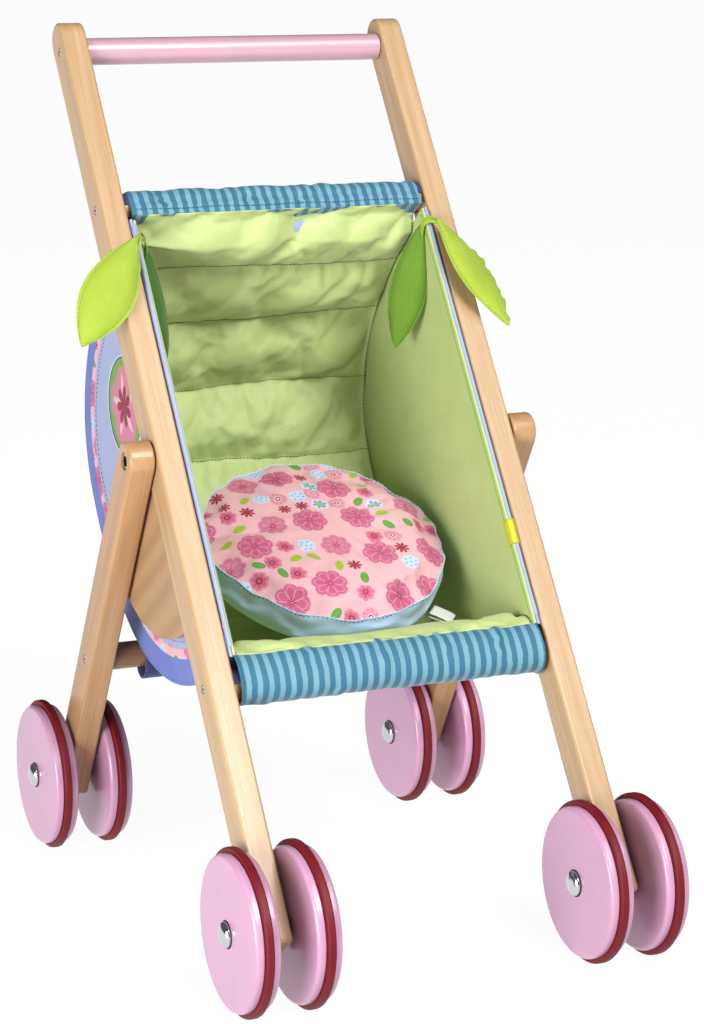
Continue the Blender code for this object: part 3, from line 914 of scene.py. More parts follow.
def plate(name: str, outline: Iterable[Sequence[float]], thickness: float, edge: float,
          segments: int = 3) -> Piece:
    """Cut a flat plate to an outline of (square, along), lying square to X about X = 0.

    Args:
        name: The new object's name.
        outline: The closed outline's points.
        thickness: The plate's thickness.
        edge: Radius of its rounded edges.
        segments: Steps round each edge.

    Returns:
        The plate, in object mode.
    """
    points = [Vector((-thickness / 2, square, along)) for square, along in outline]
    piece = trace(name, points)
    bpy.ops.mesh.edge_face_add()
    bpy.ops.mesh.extrude_region_move(TRANSFORM_OT_translate={"value": (thickness, 0, 0)})
    bpy.ops.mesh.select_all(action="SELECT")
    bpy.ops.mesh.remove_doubles(threshold=0.01 * MM)
    bpy.ops.mesh.normals_make_consistent(inside=False)
    if edge:
        pick(piece, "EDGE", lambda e: len(e.link_faces) == 2
             and sum(abs(f.normal.x) > 0.9 for f in e.link_faces) == 1)
        bpy.ops.mesh.bevel(offset=edge, segments=segments, affect="EDGES")
    leave()
    return piece


def drill(piece: Piece, radius: float, depth: float, place: Matrix, sides: int = 32) -> None:
    """Bore a round hole in a piece.

    Args:
        piece: The piece to bore.
        radius: The hole's radius.
        depth: Length of the bit along its own Z, about its middle.
        place: Where the bit's middle goes.
        sides: Number of sides on the bit.
    """
    clear_selection()
    bpy.ops.mesh.primitive_cylinder_add(vertices=sides, radius=radius, depth=depth)
    bit = bpy.context.object
    settle(bit, place)
    apply_modifier(piece, "BOOLEAN", operation="DIFFERENCE", solver="EXACT", object=bit)
    bpy.data.objects.remove(bit, do_unlink=True)


def grid_sheet(name: str, columns: int, rows: int, place: Callable[[float, float], Sequence[float]],
               flat: tuple[float, float], thick: float = 0.0, wrap: bool = False) -> Piece:
    """Lay a grid of cloth on a surface, with its UV map in metres of flat cloth.

    Args:
        name: The new object's name.
        columns: Squares along the first direction.
        rows: Squares along the second.
        place: Gives the point for shares (0 to 1) of both directions.
        flat: The cloth's flat size, in metres.
        thick: The cloth's thickness, or 0 to leave a single surface.
        wrap: Whether the second direction closes on itself.

    Returns:
        The sheet, in object mode.
    """
    clear_selection()
    bpy.ops.mesh.primitive_grid_add(x_subdivisions=columns, y_subdivisions=rows, size=1)
    piece = bpy.context.object
    piece.name = name
    mesh = piece.data
    shares = np.zeros(len(mesh.vertices) * 3, np.float32)
    mesh.vertices.foreach_get("co", shares)
    shares = shares.reshape(-1, 3) + 0.5
    layer = mesh.uv_layers[0]
    layer.name = "cloth"
    for loop in mesh.loops:
        u, v, _ = shares[loop.vertex_index]
        layer.data[loop.index].uv = (u * flat[0], v * flat[1])
    for vertex in mesh.vertices:
        u, v, _ = shares[vertex.index]
        vertex.co = Vector(place(float(u), float(v)))
    if wrap:
        edit(piece)
        bpy.ops.mesh.select_all(action="SELECT")
        bpy.ops.mesh.remove_doubles(threshold=0.01 * MM)
        leave()
    if thick:
        apply_modifier(piece, "SOLIDIFY", thickness=thick, offset=0)
    return piece


def inflate(piece: Piece, frames: int, **settings) -> None:
    """Fill a piece by cloth simulation, with no weight of its own, and apply the result.

    Args:
        piece: The piece.
        frames: Number of frames to simulate.
        **settings: The cloth's own settings.
    """
    cloth = piece.modifiers.new("cloth", "CLOTH")
    for name, value in dict(settings, quality=5, air_damping=4, use_pressure=True).items():
        setattr(cloth.settings, name, value)
    cloth.settings.effector_weights.gravity = 0
    cloth.collision_settings.use_collision = False
    cloth.point_cache.frame_end = frames
    scene = bpy.context.scene
    for number in range(1, frames + 1):
        scene.frame_set(number)
    activate(piece)
    bpy.ops.object.modifier_apply(modifier=cloth.name)
    scene.frame_set(1)


def stitch_row(name: str, points: Sequence[Vector], length: float, gap: float,
               thick: float) -> Piece:
    """Sew a row of short stitches along a line.

    Args:
        name: The new object's name.
        points: The line.
        length: Length of one stitch.
        gap: Space between stitches.
        thick: Thickness of the thread.

    Returns:
        One mesh that holds every stitch.
    """
    line = np.array(points)
    along = np.concatenate([[0.0], np.cumsum(np.linalg.norm(np.diff(line, axis=0), axis=1))])

    def at(where: float) -> Vector:
        return Vector(float(np.interp(where, along, line[:, k])) for k in range(3))

    clear_selection()
    bpy.ops.mesh.primitive_uv_sphere_add(segments=6, ring_count=5, radius=thick / 2)
    piece = bpy.context.object
    piece.name = name
    single = bmesh.new()
    single.from_mesh(piece.data)
    shape = [vertex.co.copy() for vertex in single.verts]
    faces = [[vertex.index for vertex in face.verts] for face in single.faces]
    single.free()
    row = bmesh.new()
    count = int(along[-1] / (length + gap))
    for number in range(count):
        start = (number + 0.5) * along[-1] / count - length / 2
        a, b = at(start), at(start + length)
        if (b - a).length < 1e-7:
            continue
        turn = (b - a).to_track_quat("Z", "Y").to_matrix()
        middle = (a + b) / 2
        stretch = (b - a).length / thick
        made = [row.verts.new(middle + turn @ Vector((v.x, v.y, v.z * stretch))) for v in shape]
        for face in faces:
            row.faces.new([made[i] for i in face])
    row.to_mesh(piece.data)
    row.free()
    return piece


def keep(piece: Piece, body: str, look: Look | Finish, slot: str | None = None,
         place: Matrix | None = None, stands_for: Sequence[str] = (), angle: float | None = 40,
         weigh: bool = True) -> Piece:
    """Finish a piece: shade it, settle it, dress it and let it ride on its body.

    Args:
        piece: The modelled piece.
        body: The CAD body that carries it.
        look: Its finish.
        slot: The material slot meant for it; not used.
        place: The matrix into the stroller's frame.
        stands_for: CAD nodes that it replaces.
        angle: Sharpest angle shaded smooth, in degrees, or None to leave the shading.
        weigh: Whether large faces decide the shading next to them.

    Returns:
        The same piece.
    """
    settle(piece, place or Matrix.Identity(4))
    if angle is not None:
        smooth(piece, angle, weigh)
    if not piece.data.materials:
        piece.data.materials.append(look.material())
    piece.data.name = piece.name
    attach(piece, body)
    if stands_for:
        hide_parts(*stands_for)
    LOG.info("%s: %d faces on %s", piece.name, len(piece.data.polygons), body)
    return piece


def arc(centre: tuple[float, float], radii: tuple[float, float], start: float, end: float,
        steps: int) -> list[tuple[float, float]]:
    """List points on an elliptical arc.

    Args:
        centre: The arc's middle.
        radii: Its two radii.
        start: First angle, in degrees.
        end: Last angle, in degrees.
        steps: Number of steps.

    Returns:
        The points.
    """
    angles = [math.radians(start + (end - start) * step / steps) for step in range(steps + 1)]
    return [(centre[0] + radii[0] * math.cos(a), centre[1] + radii[1] * math.sin(a)) for a in angles]


def pin(outer: float, half: float, soft: float, inner: float = 0.0) -> list[tuple[float, float]]:
    """List the profile of a turned pin or ring with chamfered ends.

    Args:
        outer: Its radius.
        half: Half of its length.
        soft: Size of the chamfers.
        inner: Radius of its hole, or 0.

    Returns:
        Points of (radius, height).
    """
    top = [(inner, half), (outer - soft, half), (outer, half - soft)]
    return top + [(radius, -height) for radius, height in reversed(top)]


# ---------------------------------------------------------------- the wooden frame

@dataclass
class WoodFrame:
    """The two side beams, the two rear legs, and the dowels between them.

    Attributes:
        depth: Depth of the bars, square to their length.
        edge: Radius of the sanded long edges.
        foot: Radius of the lower ends' corners.
        past_axle: Wood below each axle.
        screw_bore: Radius of the bore that a screw's head sits in.
        bolt_bore: Radius of the bore for the pivot bolt's head.
        nut_bore: Radius of the bore for the pivot's nut.
        dowel: Radius of the dowels.
    """

    depth: float = 24.5 * MM
    edge: float = 1.9 * MM
    foot: float = 3 * MM
    past_axle: float = 13 * MM
    screw_bore: float = 3 * MM
    bolt_bore: float = 5.8 * MM
    nut_bore: float = 5 * MM
    dowel: float = 9 * MM

    def bar(self, name: str, top: float) -> Piece:
        """Plane one bar: a block with a half-round top and softened edges.

        Args:
            name: The CAD node that it stands for.
            top: Height of its upper end along the bar.

        Returns:
            The bar about its own middle plane, in its frame.
        """
        clear_selection()
        bpy.ops.mesh.primitive_cube_add(size=1)
        piece = bpy.context.object
        piece.name = name + "_wood"
        edit(piece)
        bpy.ops.mesh.select_all(action="SELECT")
        bpy.ops.transform.resize(value=(width_of(name), self.depth, top + self.past_axle))
        bpy.ops.transform.translate(value=(0, 0, (top - self.past_axle) / 2))
        pick(piece, "EDGE", lambda e: all(v.co.z > top - MM for v in e.verts)
             and abs(e.verts[0].co.y - e.verts[1].co.y) < MM)
        bpy.ops.mesh.bevel(offset=self.depth * 0.499, segments=14, affect="EDGES")
        pick(piece, "EDGE", lambda e: all(v.co.z < MM - self.past_axle for v in e.verts)
             and abs(e.verts[0].co.y - e.verts[1].co.y) < MM)
        bpy.ops.mesh.bevel(offset=self.foot, segments=5, affect="EDGES")
        bpy.ops.mesh.select_all(action="SELECT")
        bpy.ops.mesh.remove_doubles(threshold=0.05 * MM)
        pick(piece, "EDGE", lambda e: len(e.link_faces) == 2 and e.calc_face_angle(0) > math.radians(50))
        bpy.ops.mesh.bevel(offset=self.edge, segments=4, affect="EDGES")
        leave()
        return piece

    def build(self) -> None:
        """Make the bars and dowels."""
        dowels_at = [beam_place(n).z for n in ("handle_bar", "top_bar", "front_bar")]
        beam_top = dowels_at[0] + 20.5 * MM
        crossbar_at = LEG_FRAME.local(node_centre("rear_crossbar")).z
        for label, side in SIDES.items():
            beam = self.bar(f"beam_{label}", beam_top)
            half = width_of(f"beam_{label}") / 2
            for at in dowels_at:
                drill(beam, self.screw_bore, 6 * MM, Matrix.Translation((side * half, 0, at)) @ ACROSS)
            drill(beam, self.nut_bore, 8 * MM, Matrix.Translation((-side * half, 0, PIVOT_AT)) @ ACROSS)
            x = node_centre(f"beam_{label}").x
            keep(beam, "frame", Beech("lacquered beech, beams", lean=BEAM_FRAME.lean), "beech",
                 BEAM_FRAME.matrix() @ Matrix.Translation((x, 0, 0)), [f"beam_{label}"])
            leg = self.bar(f"rear_leg_{label}", LEG_PIVOT_AT + self.depth / 2)
            drill(leg, self.bolt_bore, 8 * MM, Matrix.Translation((side * half, 0, LEG_PIVOT_AT)) @ ACROSS)
            drill(leg, self.screw_bore, 6 * MM, Matrix.Translation((side * half, 0, crossbar_at)) @ ACROSS)
            x = node_centre(f"rear_leg_{label}").x
            # The legs take a darker copy of the beams' beech, as painted shade on the lower, further-back
            # legs.
            look = Beech("lacquered beech, legs, darkened as painted shade", light="AC865F", dark="9B734C", lean=LEG_FRAME.lean)
            keep(leg, "rear_legs", look, "beech", LEG_FRAME.matrix() @ Matrix.Translation((x, 0, 0)),
                 [f"rear_leg_{label}"])
        for node, body, look, slot in (
            ("handle_bar", "frame", Look.HANDLE_PAINT, "pink_handle"),
            ("top_bar", "frame", Beech("lacquered beech, dowels", across=True), "dowel"),
            ("front_bar", "frame", Beech("lacquered beech, dowels", across=True), "dowel"),
            # The crossbar's beech is painted far darker than the rest, as painted shade under the seat.
            ("rear_crossbar", "rear_legs", Beech("lacquered beech, crossbar, darkened as painted shade", light="78583D", dark="664830",
                                                across=True), "dowel"),
        ):
            self.rail(node, body, look, slot)

    def rail(self, node: str, body: str, look: Look | Finish, slot: str) -> None:
        """Turn one dowel, softened at its ends.

        Args:
            node: The CAD dowel that it stands for.
            body: The body that carries it.
            look: Its finish.
            slot: Its material slot.
        """
        piece = lathe(node + "_turned", pin(self.dowel, width_of(node) / 2, 0.6 * MM), 64)
        keep(piece, body, look, slot, Matrix.Translation(node_centre(node)) @ ACROSS, [node])


# ---------------------------------------------------------------- wheels

@dataclass
class WheelSet:
    """Eight painted discs with rubber tyres, their spacers, axles and domed hubs.

    Attributes:
        disc: Radius of the wooden disc.
        half: Half of its width.
        tyre: Radius over the tyre.
        tyre_half: Half of the tyre's width.
        groove: Depth of the groove that the tyre lies in.
        rim: How far in the rounding of the disc's edge starts.
        shoulder: How far the rounding runs down the edge.
        hub: Radius of a hub.
        hub_height: Height of its dome.
        axle: Radius of the axle.
    """

    disc: float = 47.5 * MM
    half: float = 8.25 * MM
    tyre: float = 51 * MM
    tyre_half: float = 2.7 * MM
    groove: float = 3.5 * MM
    rim: float = 2.7 * MM
    shoulder: float = 2.7 * MM
    hub: float = 8 * MM
    hub_height: float = 4.5 * MM
    axle: float = 3 * MM

    def disc_profile(self) -> list[tuple[float, float]]:
        """List the disc's profile: flat faces, softly rounded rims and the tyre's groove."""
        middle = (self.disc - self.rim, self.half - self.shoulder)
        upper = arc(middle, (self.rim, self.shoulder), 90, 0, 8)
        lip = 0.4 * MM
        floor = self.disc - self.groove
        groove = [(self.disc, self.tyre_half + lip), (self.disc - lip, self.tyre_half),
                  (floor, self.tyre_half)]
        top = [(self.axle, self.half), (self.disc * 0.5, self.half)] + upper + groove
        return top + [(radius, -height) for radius, height in reversed(top)]

    def tyre_profile(self) -> list[tuple[float, float]]:
        """List the tyre's profile: square sides with a slightly domed, round-cornered tread."""
        round_it = 1.3 * MM
        seat = self.disc - self.groove + 0.1 * MM
        side = self.tyre_half - 0.1 * MM
        corner = arc((self.tyre - round_it, side - round_it), (round_it, round_it), 90, 8, 6)
        top = [(seat, side)] + corner
        return top + [(self.tyre, 0)] + [(radius, -height) for radius, height in reversed(top)]

    def dome_profile(self) -> list[tuple[float, float]]:
        """List a pressed hub's profile: a dome on a short straight lip, open behind."""
        lip = 0.7 * MM
        cap = arc((0, lip), (self.hub, self.hub_height - lip), 90, 0, 12)
        inner = self.hub - 0.8 * MM
        return cap + [(self.hub, 0), (inner, 0), (inner, lip), (0, lip + 0.6 * MM)]

    def build(self) -> None:
        """Make the four corners."""
        for row, body in (("front", "frame"), ("rear", "rear_legs")):
            for label, side in SIDES.items():
                self.corner(f"{row}_{label}", side, body)

    def corner(self, corner: str, side: int, body: str) -> None:
        """Make one corner's two wheels, and what holds them on.

        Args:
            corner: The corner's name.
            side: -1 on the left, 1 on the right.
            body: The body of the bar that carries them.
        """
        spots = {spot: node_centre(f"tyre_{corner}_{spot}") for spot in ("outer", "inner")}
        middle = (spots["outer"] + spots["inner"]) / 2
        for spot, centre in spots.items():
            place = Matrix.Translation(centre) @ ACROSS
            wheel = f"wheel_{corner}_{spot}"
            disc = lathe(wheel + "_disc", self.disc_profile(), 96, closed=True)
            keep(disc, wheel, Look.WHEEL_PAINT, "pink_wheel", place, [wheel])
            tyre = lathe(wheel + "_tyre", self.tyre_profile(), 96, closed=True)
            keep(tyre, wheel, Look.TYRE, "tyre", place, [f"tyre_{corner}_{spot}"])
            outward = side if spot == "outer" else -side
            turn = Matrix.Rotation(outward * math.pi / 2, 4, "Y")
            face = Matrix.Translation(centre + Vector((outward * (self.half + 0.3 * MM), 0, 0)))
            node = f"{'axle' if spot == 'outer' else 'hub'}_{corner}"
            dome = lathe(node + "_dome", self.dome_profile(), 48)
            keep(dome, body, Look.CHROME, "chrome", face @ turn, [node])
            # A thin flat-black ring just under the dome is painted shadow where the dome meets the disc.
            shadow = lathe(node + "_painted_shadow_ring", [(self.axle, 0.15 * MM), (self.hub + 0.6 * MM, 0.15 * MM),
                           (self.hub + 0.6 * MM, -0.2 * MM), (self.axle, -0.2 * MM)], 48, closed=True)
            keep(shadow, body, Look.SHADE_BLACK, None, face @ turn, weigh=False)
            gap = (centre.x + middle.x) / 2 - math.copysign(self.half / 2 - 4.25 * MM, centre.x - middle.x)
            profile = pin(6 * MM, 1.1 * MM, 0.4 * MM, self.axle)
            washer = lathe(f"spacer_{corner}_{spot}", profile, 32, closed=True)
            keep(washer, body, Look.SPACER, None, Matrix.Translation((gap, middle.y, middle.z)) @ ACROSS)
        half = (spots["outer"] - spots["inner"]).length / 2 + self.half
        rod = lathe(f"axle_{corner}_rod", pin(self.axle - 0.1 * MM, half, 0.5 * MM), 32)
        keep(rod, body, Look.STEEL, "steel", Matrix.Translation(middle) @ ACROSS)


# ---------------------------------------------------------------- fastenings and guards

@dataclass
class Fastenings:
    """The sunk screws in the dowels' ends, and the two pivots' bolts, washers and nuts.

    Attributes:
        screw: Radius of a screw's head.
        bolt: Radius of the pivot bolt's head.
        socket: Radius of its hexagon socket.
        nut: Radius of the pivot's nut.
    """

    screw: float = 2.6 * MM
    bolt: float = 5.4 * MM
    socket: float = 3.9 * MM
    nut: float = 4.6 * MM

    def head(self, name: str, radius: float, height: float, socket: float, sides: int) -> Piece:
        """Make a round head with a socket sunk in its outer face, which is at Z = 0.

        Args:
            name: The new object's name.
            radius: The head's radius.
            height: Its height.
            socket: Radius of the socket.
            sides: Number of sides of the socket.

        Returns:
            The head, in object mode, with the socket's faces in a second material, flat black as painted
            shade.
        """
        clear_selection()
        bpy.ops.mesh.primitive_cylinder_add(vertices=48, radius=radius, depth=height,
                                            location=(0, 0, -height / 2))
        piece = bpy.context.object
        piece.name = name
        settle(piece, Matrix.Identity(4))
        edit(piece)
        pick(piece, "EDGE", lambda e: all(v.co.z > -0.1 * MM for v in e.verts))
        bpy.ops.mesh.bevel(offset=radius * 0.22, segments=4, affect="EDGES")
        leave()
        drill(piece, socket, height, Matrix.Identity(4), sides)
        piece.data.materials.append(Look.CHROME.material())
        # The second material, flat black, is painted shade inside the socket.
        piece.data.materials.append(Look.SHADE_BLACK.material())
        for face in piece.data.polygons:
            flat = Vector((face.center.x, face.center.y, 0)).length
            if flat < socket * 1.01 and face.center.z < -0.05 * MM and face.center.z > -height * 0.9:
                face.material_index = 1
        return piece

    def build(self) -> None:
        """Make every fastening."""
        for label, side in SIDES.items():
            turn = Matrix.Rotation(side * math.pi / 2, 4, "Y")
            for key, body, bar in (("handle", "frame", "beam"), ("top_bar", "frame", "beam"),
                                   ("front_bar", "frame", "beam"), ("crossbar", "rear_legs", "rear_leg")):
                node = f"{key}_screw_{label}"
                low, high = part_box(node)
                outer = high.x if side > 0 else low.x
                centre = node_centre(node)
                place = Matrix.Translation((outer, centre.y, centre.z)) @ turn
                piece = self.head(node + "_head", self.screw, 1.8 * MM, self.screw * 0.42, 6)
                keep(piece, body, Look.CHROME, "steel", place, [node], weigh=False)
            node = f"pivot_bolt_{label}"
            low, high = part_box(node)
            centre = node_centre(node)
            outer = high.x if side > 0 else low.x
            inner = low.x if side > 0 else high.x
            place = Matrix.Translation((outer, centre.y, centre.z)) @ turn
            piece = self.head(node + "_head", self.bolt, 2.8 * MM, self.socket, 6)
            keep(piece, "frame", Look.CHROME, "chrome", place, [node], weigh=False)
            half = abs(outer - inner) / 2 - 1.5 * MM
            middle = (outer + inner) / 2 - side * 1.5 * MM
            shank = lathe(node + "_shank", [(0, half), (2.6 * MM, half), (2.9 * MM, half - 0.4 * MM),
                          (2.9 * MM, 0.4 * MM - half), (2.6 * MM, -half), (0, -half)], 32)
            spot = Matrix.Translation((middle, centre.y, centre.z))
            keep(shank, "frame", Look.STEEL, "steel", spot @ ACROSS)
            self.ring(f"pivot_washer_{label}", 3.2 * MM, 9 * MM, Look.STEEL, "steel")
            self.ring(f"pivot_nut_{label}", 2.9 * MM, self.nut, Look.CHROME, "chrome")

    def ring(self, node: str, inner: float, outer: float, look: Look, slot: str) -> None:
        """Turn a washer or a round nut in the place of its CAD node.

        Args:
            node: The CAD node that it stands for.
            inner: Radius of its hole.
            outer: Its radius.
            look: Its finish.
            slot: Its material slot.
        """
        half = width_of(node) / 2
        profile = pin(outer, half, min(0.5 * MM, half * 0.6), inner)
        piece = lathe(node + "_turned", profile, 48, closed=True)
        keep(piece, "frame", look, slot, Matrix.Translation(node_centre(node)) @ ACROSS, [node])


@dataclass
class GuardPlates:
    """The plywood sectors that close the pinch between each beam and its leg.

    Attributes:
        radius: Radius of the curved edge about the pivot.
        thickness: Thickness of the plywood.
        near: Distance of the straight edge from the beam's axis.
    """

    radius: float = 114 * MM
    thickness: float = 5 * MM
    near: float = 12.55 * MM

    def build(self) -> None:
        """Make both plates."""
        start = -math.degrees(math.acos(self.near / self.radius))
        end = math.degrees(LEG_FRAME.lean - BEAM_FRAME.lean) - 90
        rim = arc((0, PIVOT_AT), (self.radius, self.radius), start, end, 36)
        outline = rim + [(self.near, PIVOT_AT - 4 * MM)]
        for label in SIDES:
            node = f"guard_plate_{label}"
            x = node_centre(node).x
            piece = plate(node + "_ply", outline, self.thickness, 0.7 * MM)
            keep(piece, "frame", Veneer("rotary-cut beech plywood", lean=BEAM_FRAME.lean), "plywood",
                 BEAM_FRAME.matrix() @ Matrix.Translation((x, 0, 0)), [node])


# ---------------------------------------------------------------- the pouch

@dataclass
class SidePanels:
    """The two stiff sewn sides: lavender outside, green inside, bound and trimmed.

    Attributes:
        thickness: Thickness of a whole panel.
        bound_above: Width of the binding near the top.
        bound_below: Width of the binding near the bottom.
        ribbon: Width of the flowered ribbon.
        patch_at: Place of the round patch, as (square, along).
        patch: Radius of the patch.
    """

    thickness: float = 4 * MM
    bound_above: float = 13 * MM
    bound_below: float = 17 * MM
    ribbon: float = 10 * MM
    patch_at: tuple[float, float] = (72.7 * MM, 381 * MM)
    patch: float = 33.2 * MM

    def band(self, name: str, near: Callable[[float], float], width: float | Callable[[float], float],
             raised: float, side: int) -> Piece:
        """Lay a band of cloth on a panel's outer face, along its curved edge.

        Args:
            name: The new object's name.
            near: Gives the inset of the band's outer side for a share of the curve.
            width: The band's width, or a function that gives it.
            raised: How far the band stands off the panel's middle plane.
            side: -1 on the left, 1 on the right.

        Returns:
            The band, as a closed thin sheet.
        """
        outer = Route(POUCH.curve(0))

        def place(u: float, v: float) -> Sequence[float]:
            at = u * outer.length
            wide = width(u) if callable(width) else width
            edge = outer.at(at) + outer.inward(at) * (near(u) + wide * v)
            crown = 0.25 * MM * math.sin(math.pi * v)
            return (side * (raised + crown), max(edge.x, POUCH.front + 0.6 * MM), edge.y)

        flat_width = width(0.5) if callable(width) else width
        return grid_sheet(name, 170, 5, place, (outer.length, flat_width), 0.5 * MM)

    def build(self) -> None:
        """Make both panels with their trimmings."""
        for label, side in SIDES.items():
            self.panel(label, side)
        self.blank_tag()

    def panel(self, label: str, side: int) -> None:
        """Make one panel.

        Args:
            label: left or right.
            side: -1 on the left, 1 on the right.
        """
        node = f"side_panel_{label}"
        x = node_centre(node).x
        place = BEAM_FRAME.matrix() @ Matrix.Translation((x, 0, 0))
        layer = self.thickness * 0.46
        shift = Matrix.Translation((side * self.thickness * 0.26, 0, 0))
        shell = plate(node + "_cover", POUCH.curve(0, 90), layer, 0.7 * MM)
        shell.data.materials.append(Look.LAVENDER.material())
        shell.data.materials.append(Look.BINDING.material())
        for face in shell.data.polygons:
            curved = abs(face.normal.x) < 0.8 and face.center.y > POUCH.front + 3 * MM
            face.material_index = 1 if curved else 0
        keep(shell, "frame", Look.LAVENDER, "lavender_fabric", place @ shift, [node])
        facing = plate(node + "_facing", POUCH.curve(0.8 * MM, 90), layer, 0.8 * MM)
        keep(facing, "frame", Look.GREEN, "green_fabric", place @ Matrix.Translation(
            (-side * self.thickness * 0.24, 0, 0)))
        face_at = self.thickness / 2 + 0.15 * MM

        def bound(u: float) -> float:
            low_down = min(1.0, max(0.0, (u - 0.3) / 0.4))
            return self.bound_above + (self.bound_below - self.bound_above) * low_down

        binding = self.band(node + "_binding", lambda u: 0.2 * MM, bound, face_at, side)
        keep(binding, "frame", Look.BINDING, "lavender_fabric", place, weigh=False)
        ribbon = self.band(node + "_ribbon", lambda u: bound(u) - 3.2 * MM, self.ribbon,
                           face_at - 0.25 * MM, side)
        keep(ribbon, "frame", Look.FLOWERED, "flower_fabric", place, weigh=False)
        flat = Route(POUCH.curve(0)).length
        outer = Route(POUCH.curve(0))
        for number, inset in enumerate((2.2 * MM, None)):
            line = []
            for step in range(200):
                u = 0.02 + 0.96 * step / 199
                deep = inset if inset is not None else bound(u) + self.ribbon + 1.2 * MM
                edge = outer.at(u * outer.length) + outer.inward(u * outer.length) * deep
                line.append((side * (face_at + 0.35 * MM - (0.3 * MM if number else 0)), edge.x, edge.y))
            row = stitch_row(f"{node}_stitches_{number}", line, 2.2 * MM, 1.1 * MM, 0.45 * MM)
            keep(row, "frame", Look.BLUE_THREAD, "lavender_fabric", place, weigh=False)
        self.round_patch(node, place, side, face_at)
        self.front_piping(node, place, side)

    def round_patch(self, node: str, place: Matrix, side: int, face_at: float) -> None:
        """Sew the round flower patch on a panel's outer face.

        Args:
            node: The panel's node.
            place: Matrix from the panel's middle plane to the stroller's frame.
            side: -1 on the left, 1 on the right.
            face_at: Distance of the panel's face from its middle plane.
        """
        square, along = self.patch_at
        spot = place @ Matrix.Translation((side * face_at, square, along)) @ Matrix.Rotation(
            side * math.pi / 2, 4, "Y")
        patch = grid_sheet(node + "_patch", 48, 48, lambda u, v: self.disc_point(u, v), (1, 1))
        layer = patch.data.uv_layers[0]
        for loop in patch.data.loops:
            point = patch.data.vertices[loop.vertex_index].co
            layer.data[loop.index].uv = (point.x, point.y)
        apply_modifier(patch, "SOLIDIFY", thickness=0.5 * MM, offset=0)
        keep(patch, "frame", Look.PATCH, "flower_fabric", spot, weigh=False)
        for name, radius, thick, look in (("inner", self.patch - 0.6 * MM, 1.3 * MM, Look.BLUE_THREAD),
                                          ("outer", self.patch + 0.7 * MM, 1.2 * MM, Look.PIPING)):
            profile = arc((radius, 0.2 * MM), (thick / 2, thick / 2), 0, 315, 7)
            ring = lathe(f"{node}_patch_edge_{name}", profile, 96, closed=True)
            keep(ring, "frame", look, "lavender_fabric", spot, weigh=False)

    def disc_point(self, u: float, v: float) -> Sequence[float]:
        """Map a square's shares to a slightly domed disc."""
        a, b = 2 * u - 1, 2 * v - 1
        x, y = a * math.sqrt(1 - b * b / 2), b * math.sqrt(1 - a * a / 2)
        return (x * self.patch, y * self.patch, 0.6 * MM * (1 - x * x - y * y) + 0.1 * MM)

    def front_piping(self, node: str, place: Matrix, side: int) -> None:
        """Run the pale edging and the green piping up the panel's straight front edge.

        Args:
            node: The panel's node.
            place: Matrix from the panel's middle plane to the stroller's frame.
            side: -1 on the left, 1 on the right.
        """
        low, high = POUCH.widest_at - POUCH.below + 6 * MM, POUCH.widest_at + POUCH.above - 4 * MM
        for name, radius, look, x, square in (
            ("edging", 1.15 * MM, Look.EDGING, side * 0.55 * MM, POUCH.front - 0.15 * MM),
            ("piping", 0.45 * MM, Look.GREEN_PIPING, -side * 2.0 * MM, POUCH.front + 3.6 * MM),
        ):
            profile = [(0, high), (radius * 0.7, high - 0.2 * MM), (radius, high - radius)]
            profile += [(radius, low + (high - low) * k / 8) for k in range(7, 0, -1)]
            profile += [(radius, low + radius), (radius * 0.7, low + 0.2 * MM), (0, low)]
            cord = lathe(f"{node}_{name}", profile, 16)
            spot = place @ Matrix.Translation((x, square, 0))
            keep(cord, "frame", look, "lavender_fabric", spot, weigh=False)

    def blank_tag(self) -> None:
        """Fold the blank yellow tag over the right panel's front edge."""
        centre = Vector((node_centre("side_panel_right").x, POUCH.front, 233 * MM))
        fold = Route(np.array([(-2.5, 5), (-2.6, 2), (-2.0, -0.9), (0, -1.7), (2.0, -0.9), (2.5, 1),
                               (2.5, 5)]) * MM)

        def spot(u: float, v: float) -> Sequence[float]:
            point = fold.at(v * fold.length)
            return (centre.x + point.x, centre.y + point.y, centre.z + 17 * MM * (u - 0.5))

        tag = grid_sheet("side_panel_right_tag", 12, 30, spot, (17 * MM, fold.length), 0.5 * MM)
        keep(tag, "frame", Look.YELLOW, None, BEAM_FRAME.matrix(), angle=180, weigh=False)


